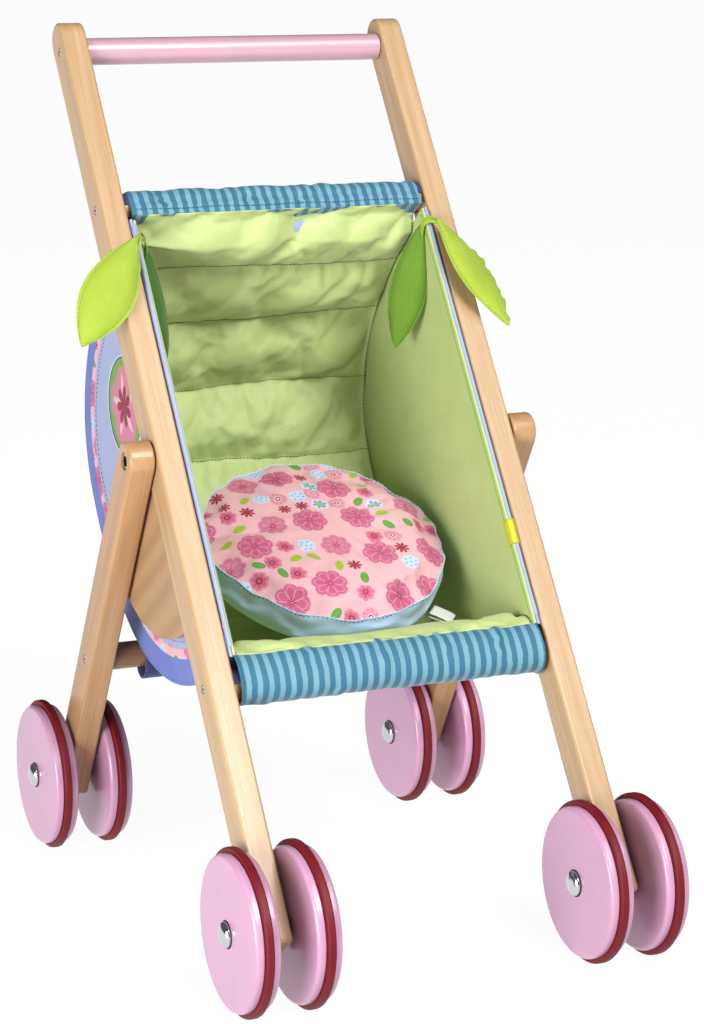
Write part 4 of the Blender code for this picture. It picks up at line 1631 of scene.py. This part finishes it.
@dataclass
class QuiltedSeat:
    """The seat and back: one padded green sheet sewn in channels, and its lavender outer side.

    Attributes:
        first_seam: Length from the top casing's seam to the first channel seam.
        channel: Length of one channel.
        seams: Number of channel seams.
        half_width: Half of the sheet's width.
        inset: Depth of the sheet inside the panels' edge.
        sunk: How much deeper the seams lie.
        plump: How far a channel stands up before it is filled.
        cell: Spacing of the simulated cloth's grid.
    """

    first_seam: float = 59 * MM
    channel: float = 52.5 * MM
    seams: int = 4
    half_width: float = 101.8 * MM
    inset: float = 9.5 * MM
    sunk: float = 3 * MM
    plump: float = 8.5 * MM
    cell: float = 2.9 * MM

    def route(self) -> Route:
        """Give the line that the sheet follows, from the top casing to the front one."""
        curve = POUCH.curve(self.inset, 240)
        top = np.array([[-11.6, 477.8], [-8.5, 478.6], [-3, 477.4]]) * MM
        front = np.array([[16, 182.5], [6, 184], [-3, 181.5], [-9, 176.5], [-11.5, 171]]) * MM
        kept = [p for p in curve if p[0] > (8 * MM if p[1] > POUCH.widest_at else 34 * MM)]
        return Route(np.vstack([top, kept, front]))

    def wander(self, seam: int, x: float) -> float:
        """Say how far a hand-guided seam strays along the sheet at a place across it."""
        return (1.8 * MM * math.sin(x / (33 * MM) + seam * 1.9)
                + 0.9 * MM * rough(x / (9 * MM), seam * 7.3, 0.5) - 0.007 * seam * x)

    def build(self) -> None:
        """Make the quilt by cloth simulation, then its seams and outer side."""
        route = self.route()
        columns = round(2 * self.half_width / self.cell)
        rows = round(route.length / self.cell)
        step = route.length / rows
        seam_rows = [round((self.first_seam + self.channel * k) / step) for k in range(self.seams)]

        def place(u: float, v: float) -> Sequence[float]:
            x = self.half_width * (1 - 2 * u)
            at = v * route.length
            stray = sum(self.wander(k, x) * max(0.0, 1 - abs(at - row * step) / (self.channel / 2))
                        for k, row in enumerate(seam_rows))
            border = min(self.half_width - abs(x), at, route.length - at)
            if at < seam_rows[-1] * step:
                bounds = [0.0] + [row * step for row in seam_rows]
                spot = next(k for k in range(self.seams) if at <= bounds[k + 1] + 1e-9)
                share = (at - bounds[spot]) / (bounds[spot + 1] - bounds[spot])
                swell = math.sin(math.pi * min(1.0, max(0.0, share)) ** 1.25) ** 0.75
                fold = rough(x / (24 * MM) + at / (30 * MM), at / (70 * MM), spot * 3.1)
                rise = swell * (self.plump * (1.0 if spot else 0.55) + 4.5 * MM * fold) - self.sunk
            else:
                close = at - seam_rows[-1] * step
                rise = -self.sunk * math.exp(-close / (8 * MM))
            soft = 1 - math.exp(-(border / (9 * MM)) ** 2)
            at = min(max(at + stray, 0.0), route.length)
            point = route.at(at) + route.inward(at) * (rise * soft - self.sunk * (1 - soft) * (border < at))
            return (x, point.x, point.y)

        quilt = grid_sheet("seat_quilt", columns, rows, place, (2 * self.half_width, route.length))
        rest = [v.co.copy() for v in quilt.data.vertices]
        sewn = [v.index for v in quilt.data.vertices if v.index // (columns + 1) in (0, rows, *seam_rows)
                or v.index % (columns + 1) in (0, columns)]
        quilt.vertex_groups.new(name="sewn").add(sewn, 1.0, "REPLACE")
        inflate(quilt, 24, mass=0.15, tension_stiffness=15, compression_stiffness=10, shear_stiffness=5,
                bending_stiffness=0.6, shrink_min=-0.055, vertex_group_mass="sewn",
                uniform_pressure_force=3.0)
        self.trim(quilt, rest, columns, seam_rows[-1])
        activate(quilt)
        quilt.vertex_groups.clear()
        apply_modifier(quilt, "SUBSURF", levels=1, render_levels=1)
        normals = [v.normal.copy() for v in quilt.data.vertices]
        lines = {f"seat_seam_{k}": [row * (columns + 1) + c for c in range(columns + 1)]
                 for k, row in enumerate(seam_rows)}
        for label, column in (("right", 0), ("left", columns)):
            lines[f"seat_seam_{label}"] = [r * (columns + 1) + column for r in range(rows + 1)]
        threads = {name: [quilt.data.vertices[i].co + normals[i] * 0.35 * MM for i in line]
                   for name, line in lines.items()}
        apply_modifier(quilt, "SOLIDIFY", thickness=0.8 * MM, offset=-1)
        keep(quilt, "frame", Look.GREEN, "green_fabric", BEAM_FRAME.matrix(), ["seat_liner"], 180, False)
        for name, line in threads.items():
            inward = {"seat_seam_left": 0.7 * MM, "seat_seam_right": -0.7 * MM}.get(name, 0.0)
            line = [point + Vector((inward, 0, 0)) for point in line]
            row = stitch_row(name, line, 2.2 * MM, 0.5 * MM, 0.6 * MM)
            keep(row, "frame", Look.GREEN_THREAD, "green_fabric", BEAM_FRAME.matrix(), weigh=False)
        self.outer_side()

    def trim(self, quilt: Piece, rest: list[Vector], columns: int, last_row: int) -> None:
        """Keep the filled cloth inside its limits.

        Args:
            quilt: The quilt after its simulation.
            rest: Where its vertices were before.
            columns: Squares across the quilt.
            last_row: The last channel seam's row.
        """
        for vertex in quilt.data.vertices:
            row = vertex.index // (columns + 1)
            cap = 6 * MM if row < last_row else 3.5 * MM
            moved = vertex.co - rest[vertex.index]
            if moved.length > cap:
                vertex.co = rest[vertex.index] + moved * (cap / moved.length)
            limit = self.half_width
            vertex.co.x = min(max(vertex.co.x, -limit), limit)

    def outer_side(self) -> None:
        """Make the lavender sheet that is seen from behind and below."""
        into_casing = np.array([[1.5, 479], [3.5, 475.5]]) * MM
        curve = [p for p in POUCH.curve(3.2 * MM, 160)
                 if p[0] > (6 * MM if p[1] > POUCH.widest_at else 2 * MM)]
        route = Route(np.vstack([into_casing, curve]))

        def place(u: float, v: float) -> Sequence[float]:
            x = -self.half_width + 2 * self.half_width * u
            at = v * route.length
            ripple = 0.5 * MM * rough(x / (40 * MM), at / (26 * MM), 3.0)
            taut = 0.6 * MM * (1 - (x / self.half_width) ** 2)
            below_casing = min(1.0, at / (30 * MM))
            point = route.at(at) + route.inward(at) * (ripple + taut) * below_casing
            return (x, point.x, point.y)

        back = grid_sheet("seat_outer_cover", 60, 150, place, (2 * self.half_width, route.length), 0.8 * MM)
        keep(back, "frame", Look.LAVENDER, "lavender_fabric", BEAM_FRAME.matrix(), angle=180, weigh=False)


@dataclass
class Casings:
    """The striped tubes of cloth that carry the pouch on its two bars, and their end tabs.

    Attributes:
        half_length: Half of a casing's length.
        hem: Width of the top casing's hem, below its row of stitches.
    """

    half_length: float = 103.5 * MM
    hem: float = 3.2 * MM

    def tube(self, name: str, section: Route, seed: float, gather: float, calm: Callable[[float], float],
             flat: float) -> Piece:
        """Sew one gathered casing round a bar.

        Args:
            name: The new object's name.
            section: The closed line of its section.
            seed: Offset into the noise that shapes its gathers.
            gather: Depth of its gathers.
            calm: Gives how free the gathers are, from 0 to 1, for a share of the section.
            flat: Length of the cloth across the stroller before it is gathered.

        Returns:
            The casing, with its UV map in metres.
        """
        def place(u: float, v: float) -> Sequence[float]:
            x = self.half_length * (2 * u - 1)
            at = v * section.length
            point, inward = section.at(at), section.inward(at)
            turn = math.tau * v
            ring = (math.cos(turn), math.sin(turn))
            fine = rough(x / (7 * MM), 1.1 * ring[0], seed + 1.1 * ring[1])
            wide = rough(x / (24 * MM), 0.8 * ring[0] + 5, seed + 0.8 * ring[1])
            pinch = max(0.0, rough(x / (11 * MM) + 3, 0.7 * ring[0], seed + 0.7 * ring[1]) - 0.25)
            push = calm(v) * gather * (0.9 * fine + 0.8 * wide - 3.0 * pinch)
            sway = rough(x / (15 * MM), 2.6 * ring[0], seed + 9 + 2.6 * ring[1])
            end = 1 - abs(2 * u - 1) ** 8
            tuck = (1 - min(1.0, (self.half_length - abs(x)) / (3 * MM))) ** 2
            point = point - inward * (push * (0.35 + 0.65 * end) - 1.3 * MM * tuck)
            return (x + (0.35 * MM + 6 * MM * pinch) * sway * end, point.x, point.y)

        return grid_sheet(name, 220, 60, place, (flat, section.length), 0.7 * MM, wrap=True)

    def top_section(self) -> Route:
        """Give the top casing's section: round over the bar, and flat down to its hem in front."""
        centre = beam_place("top_bar")
        over = arc((0, 0), (11.4 * MM, 11.4 * MM), 186, -30, 36)
        seam = (-12.3 * MM, -10.8 * MM)
        points = [seam, (-12.0 * MM, -8.4 * MM), (-12.4 * MM, -5 * MM)] + over + [(3 * MM, -10.4 * MM), seam]
        return Route(np.array(points) + np.array([centre.y, centre.z]))

    def front_section(self) -> Route:
        """Give the front casing's section: a deep flattened tube."""
        centre = beam_place("front_bar")
        turn = arc((0, 0), (1, 1), 90, 450, 60)
        points = [(12.6 * MM * math.copysign(abs(a) ** 0.86, a) - 0.4 * MM,
                   15.4 * MM * math.copysign(abs(b) ** 0.86, b) + 3.4 * MM) for a, b in turn]
        return Route(np.array(points) + np.array([centre.y, centre.z]))

    def build(self) -> None:
        """Make both casings, with the hem's stitches and the tape tabs at their ends."""
        top = self.top_section()
        edge = self.hem / top.length

        def by_hem(v: float) -> float:
            near = min(v, 1 - v)
            return 0.25 + 0.75 * min(1.0, max(0.0, near - edge) * 9)

        piece = self.tube("top_casing_cloth", top, 1.3, 1.1 * MM, by_hem, 222 * MM)
        keep(piece, "frame", Look.STRIPED, "striped_fabric", BEAM_FRAME.matrix(), ["top_casing"], 180, False)
        front = self.front_section()
        piece = self.tube("front_casing_cloth", front, 6.1, 0.75 * MM, lambda v: 1.0, 216 * MM)
        keep(piece, "frame", Look.STRIPED, "striped_fabric", BEAM_FRAME.matrix(), ["front_casing"], 180,
             False)
        spot = top.at(self.hem)
        line = [(x * MM, spot.x - 0.7 * MM, spot.y + 0.3 * MM * math.sin(x / 9)) for x in range(-102, 103)]
        row = stitch_row("top_casing_hem_stitches", line, 2.6 * MM, 0.6 * MM, 0.7 * MM)
        keep(row, "frame", Look.TEAL_THREAD, "striped_fabric", BEAM_FRAME.matrix(), weigh=False)
        for node in ("top_bar", "front_bar"):
            for label, side in SIDES.items():
                self.tab(node, label, side)

    def tab(self, node: str, label: str, side: int) -> None:
        """Wrap one end tab of navy tape over a bar, between a beam and the casing.

        Args:
            node: The bar.
            label: left or right.
            side: -1 on the left, 1 on the right.
        """
        centre = beam_place(node)
        over = Route(np.array([(-10.2 * MM, -2 * MM)] + arc((0, 0), (9.9 * MM, 9.9 * MM), 175, -60, 30)))

        def place(u: float, v: float) -> Sequence[float]:
            point = over.at(v * over.length)
            return (side * (96.7 * MM + 10 * MM * u), centre.y + point.x, centre.z + point.y)

        piece = grid_sheet(f"{node}_tab_{label}", 6, 36, place, (10 * MM, over.length), 0.9 * MM)
        keep(piece, "frame", Look.TAPE, "strap", BEAM_FRAME.matrix(), angle=180, weigh=False)


@dataclass
class RearStrap:
    """The hook-tape strap that loops round the crossbar under the seat.

    Attributes:
        half_width: Half of its width across the stroller.
        drop: How far the loop hangs below the bar.
    """

    half_width: float = 102 * MM
    drop: float = 7 * MM

    def build(self) -> None:
        """Make the strap."""
        centre = LEG_FRAME.local(node_centre("rear_crossbar"))
        radius = 9.9 * MM
        loop = arc((0, 0), (radius, radius), 0, 180, 24)
        loop += arc((0, -self.drop), (radius, radius), 180, 360, 24) + loop[:1]
        route = Route(np.array(loop))

        def place(u: float, v: float) -> Sequence[float]:
            x = self.half_width * (2 * u - 1)
            point = route.at(v * route.length)
            sag = 0.5 * MM * rough(x / (30 * MM), point.x / (9 * MM), 2.0)
            return (x, point.x * (1 + sag / radius), point.y)

        piece = grid_sheet("rear_strap_loop", 60, 60, place, (2 * self.half_width, route.length), 1.2 * MM,
                           wrap=True)
        upright = Matrix.Translation(LEG_FRAME.matrix() @ Vector((0, centre.y, centre.z)))
        keep(piece, "rear_legs", Look.TAPE, "strap", upright, ["rear_strap"], 180, False)


# ---------------------------------------------------------------- cushion and leaves

@dataclass
class SeatCushion:
    """The round cushion: flower print on top, light blue satin round and below.

    Attributes:
        radius: Radius over the side.
        seam_radius: Radius of the seam round the printed top.
        seam_height: Height of that seam over the middle of its CAD solid.
        crown: Height of the printed top over the seam.
        half: Depth of the underside below that middle.
        tilt: How far the cushion is tipped towards the front.
        shift: How far it has slid from that middle, across and down its own slope.
    """

    radius: float = 87.5 * MM
    seam_radius: float = 86 * MM
    seam_height: float = 17.5 * MM
    crown: float = 6.5 * MM
    half: float = 21 * MM
    tilt: float = math.radians(24.7)
    shift: tuple[float, float] = (2.2 * MM, 1 * MM)

    def build(self) -> None:
        """Inflate the cushion, and sew its seam and label."""
        rings, spokes, top_rings = 60, 144, 30
        clear_selection()
        bpy.ops.mesh.primitive_uv_sphere_add(segments=spokes, ring_count=rings, radius=1)
        cushion = bpy.context.object
        cushion.name = "seat_cushion_padded"
        mesh = cushion.data
        seam_ring = []
        ring_of = {}
        for vertex in mesh.vertices:
            polar = math.acos(max(-1.0, min(1.0, vertex.co.z)))
            ring = round(polar / math.pi * rings)
            around = math.atan2(vertex.co.y, vertex.co.x)
            radius, height = self.section(ring, rings, top_rings)
            near_seam = math.exp(-((ring - top_rings) / 5) ** 2)
            wave, ruffle, lift, pleat = (rough(k * math.cos(around), k * math.sin(around), seed)
                                         for k, seed in ((3.0, 4.0), (8.0, 8.0), (5.0, 1.0), (17.0, 2.0)))
            radius += near_seam * (2.8 * MM * wave + 2.0 * MM * ruffle)
            height += near_seam * (3.2 * MM * lift + 1.2 * MM * ruffle + 1.5 * MM * math.sin(around))
            if ring > top_rings:
                radius -= 2.4 * MM * max(0.0, pleat) * math.exp(-(ring - top_rings) / 7)
            ring_of[vertex.index] = ring
            vertex.co = (radius * math.cos(around), radius * math.sin(around), height)
            if ring == top_rings:
                seam_ring.append((around, vertex.index))
        mesh.uv_layers[0].name = "cloth"
        for loop in mesh.loops:
            point = mesh.vertices[loop.vertex_index].co
            mesh.uv_layers[0].data[loop.index].uv = (point.x + 0.4, point.y + 0.3)
        mesh.materials.append(Look.FLOWERED.material())
        mesh.materials.append(Look.SATIN.material())
        for face in mesh.polygons:
            face.material_index = 0 if all(ring_of[i] <= top_rings for i in face.vertices) else 1
        cushion.vertex_groups.new(name="gathered").add([i for _, i in seam_ring], 1.0, "REPLACE")
        rest = [v.co.copy() for v in mesh.vertices]
        inflate(cushion, 14, mass=0.2, tension_stiffness=25, compression_stiffness=20, shear_stiffness=10,
                bending_stiffness=1.5, shrink_min=-0.012, shrink_max=0.03,
                vertex_group_shrink="gathered", uniform_pressure_force=0.9)
        cap = 4.5 * MM
        calm_rings = 16
        edge = [v.co.z - rest[v.index].z for v in cushion.data.vertices if ring_of[v.index] == calm_rings]
        rise = Vector((0, 0, min(cap, sum(edge) / len(edge))))
        for vertex in cushion.data.vertices:
            moved = vertex.co - rest[vertex.index]
            moved *= min(1.0, cap / max(moved.length, 1e-9))
            # The mesh's spokes meet at the pole and wrinkle like a star there, which cloth doesn't.
            free = min(1.0, ring_of[vertex.index] / calm_rings) ** 2
            vertex.co = rest[vertex.index] + rise.lerp(moved, free)
        order = [index for _, index in sorted(seam_ring)]
        cushion.vertex_groups.clear()
        apply_modifier(cushion, "SUBSURF", levels=1, render_levels=1)
        seam = [cushion.data.vertices[i].co + Vector((0, 0, -0.9 * MM)) for i in order]
        seam.append(seam[0])
        place = self.place()
        keep(cushion, "cushion", Look.FLOWERED, "flower_fabric", place, ["seat_cushion"], 180, False)
        row = stitch_row("cushion_seam", [p + Vector((p.x, p.y, 0)).normalized() * 0.5 * MM for p in seam],
                         1.5 * MM, 1.5 * MM, 0.6 * MM)
        keep(row, "cushion", Look.TEAL_THREAD, "flower_fabric", place, weigh=False)
        rolled = [p + Vector((p.x, p.y, 0)).normalized() * 0.3 * MM + Vector((0, 0, 1.2 * MM)) for p in seam]
        row = stitch_row("cushion_edge_roll", rolled, 3.2 * MM, 0.0, 1.0 * MM)
        keep(row, "cushion", Look.SATIN, "flower_fabric", place, weigh=False)
        self.care_label(place)

    def care_label(self, place: Matrix) -> None:
        """Sew the blank care label into the side, where it stands out in a loop.

        Args:
            place: Matrix from the cushion's own frame to the stroller's.
        """
        around = math.radians(-43)
        out = Vector((math.cos(around), math.sin(around), 0))
        along = Vector((-math.sin(around), math.cos(around), 0))

        def spot(u: float, v: float) -> Sequence[float]:
            point = out * (self.radius - 5 * MM + 15.5 * MM * math.sin(math.pi * v) ** 0.9)
            sag = Vector((0, 0, -7 * MM + 1.6 * MM * math.cos(math.pi * v)))
            return point + along * 10 * MM * (u - 0.5) + sag

        label = grid_sheet("cushion_care_label", 8, 30, spot, (10 * MM, 36 * MM), 0.4 * MM)
        keep(label, "cushion", Look.LABEL, None, place, angle=180, weigh=False)

    def place(self) -> Matrix:
        """Give the matrix from the cushion's own frame to the stroller's."""
        return (Matrix.Translation(node_centre("seat_cushion")) @ Matrix.Rotation(self.tilt, 4, "X")
                @ Matrix.Translation((*self.shift, 0)))

    def section(self, ring: int, rings: int, top_rings: int) -> tuple[float, float]:
        """Give the radius and height of one ring of the cushion's section.

        Args:
            ring: The ring's number from the top pole.
            rings: Number of rings.
            top_rings: The ring that the seam is on.

        Returns:
            The ring's radius and height.
        """
        if ring <= top_rings:
            share = ring / top_rings
            return self.seam_radius * share, self.seam_height + self.crown * (1 - share ** 3.2)
        share = (ring - top_rings) / (rings - top_rings)
        angle = math.pi / 2 * share
        bulge = self.seam_radius + (self.radius - self.seam_radius) * math.sin(math.pi * min(1, share * 1.6))
        radius = bulge * math.cos(angle) ** 0.42
        height = self.seam_height - (self.seam_height + self.half) * math.sin(angle) ** 1.3
        return (radius if ring < rings else 0.0), height


@dataclass
class Leaves:
    """Four stuffed cloth leaves on short ties, hung in pairs over the panels' front edges.

    Attributes:
        thickness: Thickness of a leaf at its middle.
        seam_at: Share of the half width at which the edge seam runs.
    """

    thickness: float = 7 * MM
    seam_at: float = 0.86

    def surface(self, edge: float, share: float, front: int, width: float, length: float, ruck: float,
                seed: float) -> Vector:
        """Give a point of a leaf's stuffed surface.

        Args:
            edge: Place across the leaf, from -1 to 1.
            share: Place along it, from 0 at the stem to 1 at the tip.
            front: 1 for its front, -1 for its back.
            width: The leaf's width.
            length: Its length.
            ruck: Depth of the puckers along its one edge.
            seed: Offset into its noise.

        Returns:
            The point, with the stem at the origin and the tip below it.
        """
        wide = math.sin(math.pi * share ** 1.12) ** 0.85 if 0 < share < 1 else 0.0
        wide = wide * (1 - 0.12 * share) + 0.07 * (share < 0.5) * (1 - share * 2) ** 2
        body = max(0.0, 1 - abs(edge) / self.seam_at) if abs(edge) < self.seam_at else 0.0
        puff = (1 - (1 - body) ** 2.4) ** 0.8 if body else 0.0
        lift = 0.7 * MM + self.thickness / 2 * puff * min(1.0, wide * 1.5)
        lift += 0.5 * MM * rough(edge * 2.2, share * 5, seed) * puff
        pucker = ruck * rough(share * 13, seed, 1.0) * max(0.0, -edge) ** 3
        pucker *= min(1.0, 2.5 * wide)
        bend = 0.10 * length * math.sin(math.pi * share) ** 2 * math.copysign(1, seed - 2.5)
        return Vector((front * lift * (1 - abs(edge) ** 8) + pucker,
                       wide * width / 2 * edge + 0.05 * bend + pucker * 0.8, -length * share))

    def leaf(self, node: str, width: float, length: float, look: Look, thread: Look, slot: str,
             spot: tuple[float, float, float], angles: tuple[float, float, float], ruck: float, seed: float,
             seen: int) -> None:
        """Make one leaf from a ball, pressed flat and drawn out to a point, with its edge seam.

        Args:
            node: The CAD leaf that it stands for.
            width: Its width.
            length: Its length.
            look: Its finish.
            thread: The finish of its stitches.
            slot: Its material slot.
            spot: Its stem's place in the beams' frame, in millimetres.
            angles: Turns about X, Y and Z, in degrees.
            ruck: Depth of the puckers along its one edge.
            seed: Offset into the noise that wrinkles it.
            seen: 1 or -1 for the side that its stitches show on.
        """
        clear_selection()
        bpy.ops.mesh.primitive_uv_sphere_add(segments=88, ring_count=60, radius=1)
        piece = bpy.context.object
        piece.name = node + "_stuffed"
        for vertex in piece.data.vertices:
            x, y, z = vertex.co
            share = math.acos(max(-1.0, min(1.0, z))) / math.pi
            share = 0.5 - 0.5 * math.cos(math.pi * share) if abs(z) < 0.999999 else (1 - z) / 2
            angle = math.atan2(x, y)
            edge = math.cos(angle)
            front = 1 if math.sin(angle) >= 0 else -1
            vertex.co = self.surface(edge, share, front, width, length, ruck, seed)
        place = BEAM_FRAME.matrix() @ Matrix.Translation(Vector(spot) * MM)
        for turn, axis in zip(angles, "XYZ"):
            place = place @ Matrix.Rotation(math.radians(turn), 4, axis)
        keep(piece, "frame", look, slot, place, [node], 60, False)
        for name, edge in (("a", -self.seam_at), ("b", self.seam_at)):
            line = [self.surface(edge, 0.04 + 0.92 * k / 60, seen, width, length, ruck, seed)
                    + Vector((seen * 0.1 * MM, 0, 0)) for k in range(61)]
            row = stitch_row(f"{node}_stitches_{name}", line, 2.0 * MM, 0.5 * MM, 0.5 * MM)
            keep(row, "frame", thread, slot, place, weigh=False)

    def tie(self, label: str, points: Sequence[tuple[float, float, float]]) -> None:
        """Fold one pair's tie over its panel's front edge.

        Args:
            label: left or right.
            points: The tie's middle line in the beams' frame, in millimetres.
        """
        line = np.array(points) * MM
        along = np.concatenate([[0.0], np.cumsum(np.linalg.norm(np.diff(line, axis=0), axis=1))])

        def place(u: float, v: float) -> Sequence[float]:
            at = v * along[-1]
            x, n, z = (float(np.interp(at, along, line[:, k])) for k in range(3))
            turn, slim = math.tau * 0.85 * (u - 0.5), 1 - 0.2 * math.sin(math.pi * v)
            return (x, n + 1.2 * MM * math.cos(turn), z + 3.2 * MM * slim * math.sin(turn))

        piece = grid_sheet(f"leaf_tie_{label}", 12, 40, place, (10 * MM, float(along[-1])), 0.5 * MM)
        apply_modifier(piece, "SUBSURF", levels=1, render_levels=1)
        keep(piece, "frame", Look.LIME, "lime_fabric", BEAM_FRAME.matrix(), angle=180, weigh=False)

    def build(self) -> None:
        """Make the leaves and their ties."""
        upright = -math.degrees(BEAM_FRAME.lean)
        lime = ("lime_fabric", Look.LIME, Look.LIME_THREAD)
        leaf = ("leaf_fabric", Look.LEAF, Look.LEAF_THREAD)
        # The inner left leaf takes the darker copy of its cloth, as painted shade.
        under = ("leaf_fabric", Look.LEAF_PAINTED_SHADE, Look.LEAF_THREAD)
        for node, kind, width, length, spot, angles, ruck, seed, seen in (
            ("leaf_outer_left", lime, 38, 92, (-107, -17, 458), (0, 34.5, 90), 0.8, 1.0, -1),
            ("leaf_outer_right", lime, 35, 88, (107.5, -20, 460), (0, -20.5, 110), 3.0, 2.0, -1),
            ("leaf_inner_left", under, 30, 76, (-97.5, -6, 457), (upright, -10.5, -37), 0.8, 3.0, -1),
            ("leaf_inner_right", leaf, 29, 86, (101, -7, 464), (upright, 12, -130), 1.0, 4.0, 1),
        ):
            slot, look, thread = kind
            self.leaf(node, width * MM, length * MM, look, thread, slot, spot, angles, ruck * MM, seed, seen)
        self.tie("left", [(-108, -18, 452), (-105, -17.5, 458), (-102, -15.5, 461), (-98.5, -10, 459.5),
                          (-97, -5, 455)])
        self.tie("right", [(110, -19, 455), (107, -18, 461), (103.5, -15.5, 463.5), (100.5, -11, 463),
                           (99.5, -7, 458)])


# ---------------------------------------------------------------- studio

@dataclass
class Studio:
    """A pale floor, soft lights and the camera.

    Attributes:
        place: The camera's place.
        yaw: Its turn from +Y towards +X, in degrees.
        pitch: Its tip upwards, in degrees.
        roll: Its turn about its own axis, in degrees.
        lens: Its focal length in millimetres, for a 36 mm sensor.
    """

    place: tuple[float, float, float] = (-0.6985, -1.6266, 0.6751)
    yaw: float = 23.42
    pitch: float = -13.25
    roll: float = 0.67
    lens: float = 99.28

    def camera(self) -> None:
        """Add the camera."""
        data = bpy.data.cameras.new("camera")
        data.lens = self.lens
        data.sensor_width = 36
        made = bpy.data.objects.new("camera", data)
        bpy.context.scene.collection.objects.link(made)
        yaw, pitch, roll = (math.radians(a) for a in (self.yaw, self.pitch, self.roll))
        ahead = Vector((math.sin(yaw) * math.cos(pitch), math.cos(yaw) * math.cos(pitch), math.sin(pitch)))
        right = Vector((math.cos(yaw), -math.sin(yaw), 0))
        up = right.cross(ahead)
        right, up = right * math.cos(roll) + up * math.sin(roll), up * math.cos(roll) - right * math.sin(roll)
        turn = Matrix((right, up, -ahead)).transposed().to_4x4()
        made.matrix_world = Matrix.Translation(self.place) @ turn
        bpy.context.scene.camera = made

    def light(self, name: str, place: tuple[float, float, float], size: float, power: float,
              target: tuple[float, float, float] = (0, 0, 0.28)) -> None:
        """Add one soft box aimed at the stroller.

        Args:
            name: The light's name.
            place: Its place.
            size: Its side.
            power: Its power in watts.
            target: The point it faces.
        """
        data = bpy.data.lights.new(name, "AREA")
        data.shape = "SQUARE"
        data.size = size
        data.energy = power
        made = bpy.data.objects.new(name, data)
        bpy.context.scene.collection.objects.link(made)
        made.location = place
        made.rotation_mode = "QUATERNION"
        made.rotation_quaternion = (Vector(target) - Vector(place)).to_track_quat("-Z", "Y")

    def floor(self) -> None:
        """Lay the pale floor, which glows faintly like a lit sweep so that it stays white far away."""
        clear_selection()
        bpy.ops.mesh.primitive_plane_add(size=70)
        made = bpy.context.object
        made.name = "floor"
        surface = bpy.data.materials.new("pale floor")
        surface.use_nodes = True
        place = add_node(surface.node_tree, "TexCoord", out="Object")
        tone = ramp(speckle(place, 3.0), [(0.3, "4A4A4A"), (0.7, "4E4E4E")])
        wire(surface.node_tree.nodes["Principled BSDF"], {
            "Base Color": tone, "Roughness": 0.9, "Emission Color": (1, 1, 1, 1), "Emission Strength": 0.95})
        made.data.materials.append(surface)
        made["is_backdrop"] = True

    def build(self) -> None:
        """Set the stage."""
        scene = bpy.context.scene
        world = bpy.data.worlds.new("studio")
        world.use_nodes = True
        wire(world.node_tree.nodes["Background"], {"Color": linear("FFFFFF"), "Strength": 0.12})
        scene.world = world
        scene.view_settings.view_transform = "Standard"
        self.floor()
        self.light("front_soft_box", (0.45, -2.3, 2.35), 1.2, 114)
        self.light("left_soft_box", (-1.25, -0.75, 0.35), 0.7, 26)
        self.light("sheen_soft_box", (0.88, -1.15, 2.12), 0.9, 12)
        self.camera()


def main() -> None:
    """Build the stroller in order, and report each piece."""
    Studio().build()
    WoodFrame().build()
    WheelSet().build()
    Fastenings().build()
    GuardPlates().build()
    SidePanels().build()
    QuiltedSeat().build()
    Casings().build()
    RearStrap().build()
    SeatCushion().build()
    Leaves().build()
    boxes = [[list(corner) for corner in box] for box in (CAD_BOX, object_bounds())]


if __name__ == "__main__":
    main()
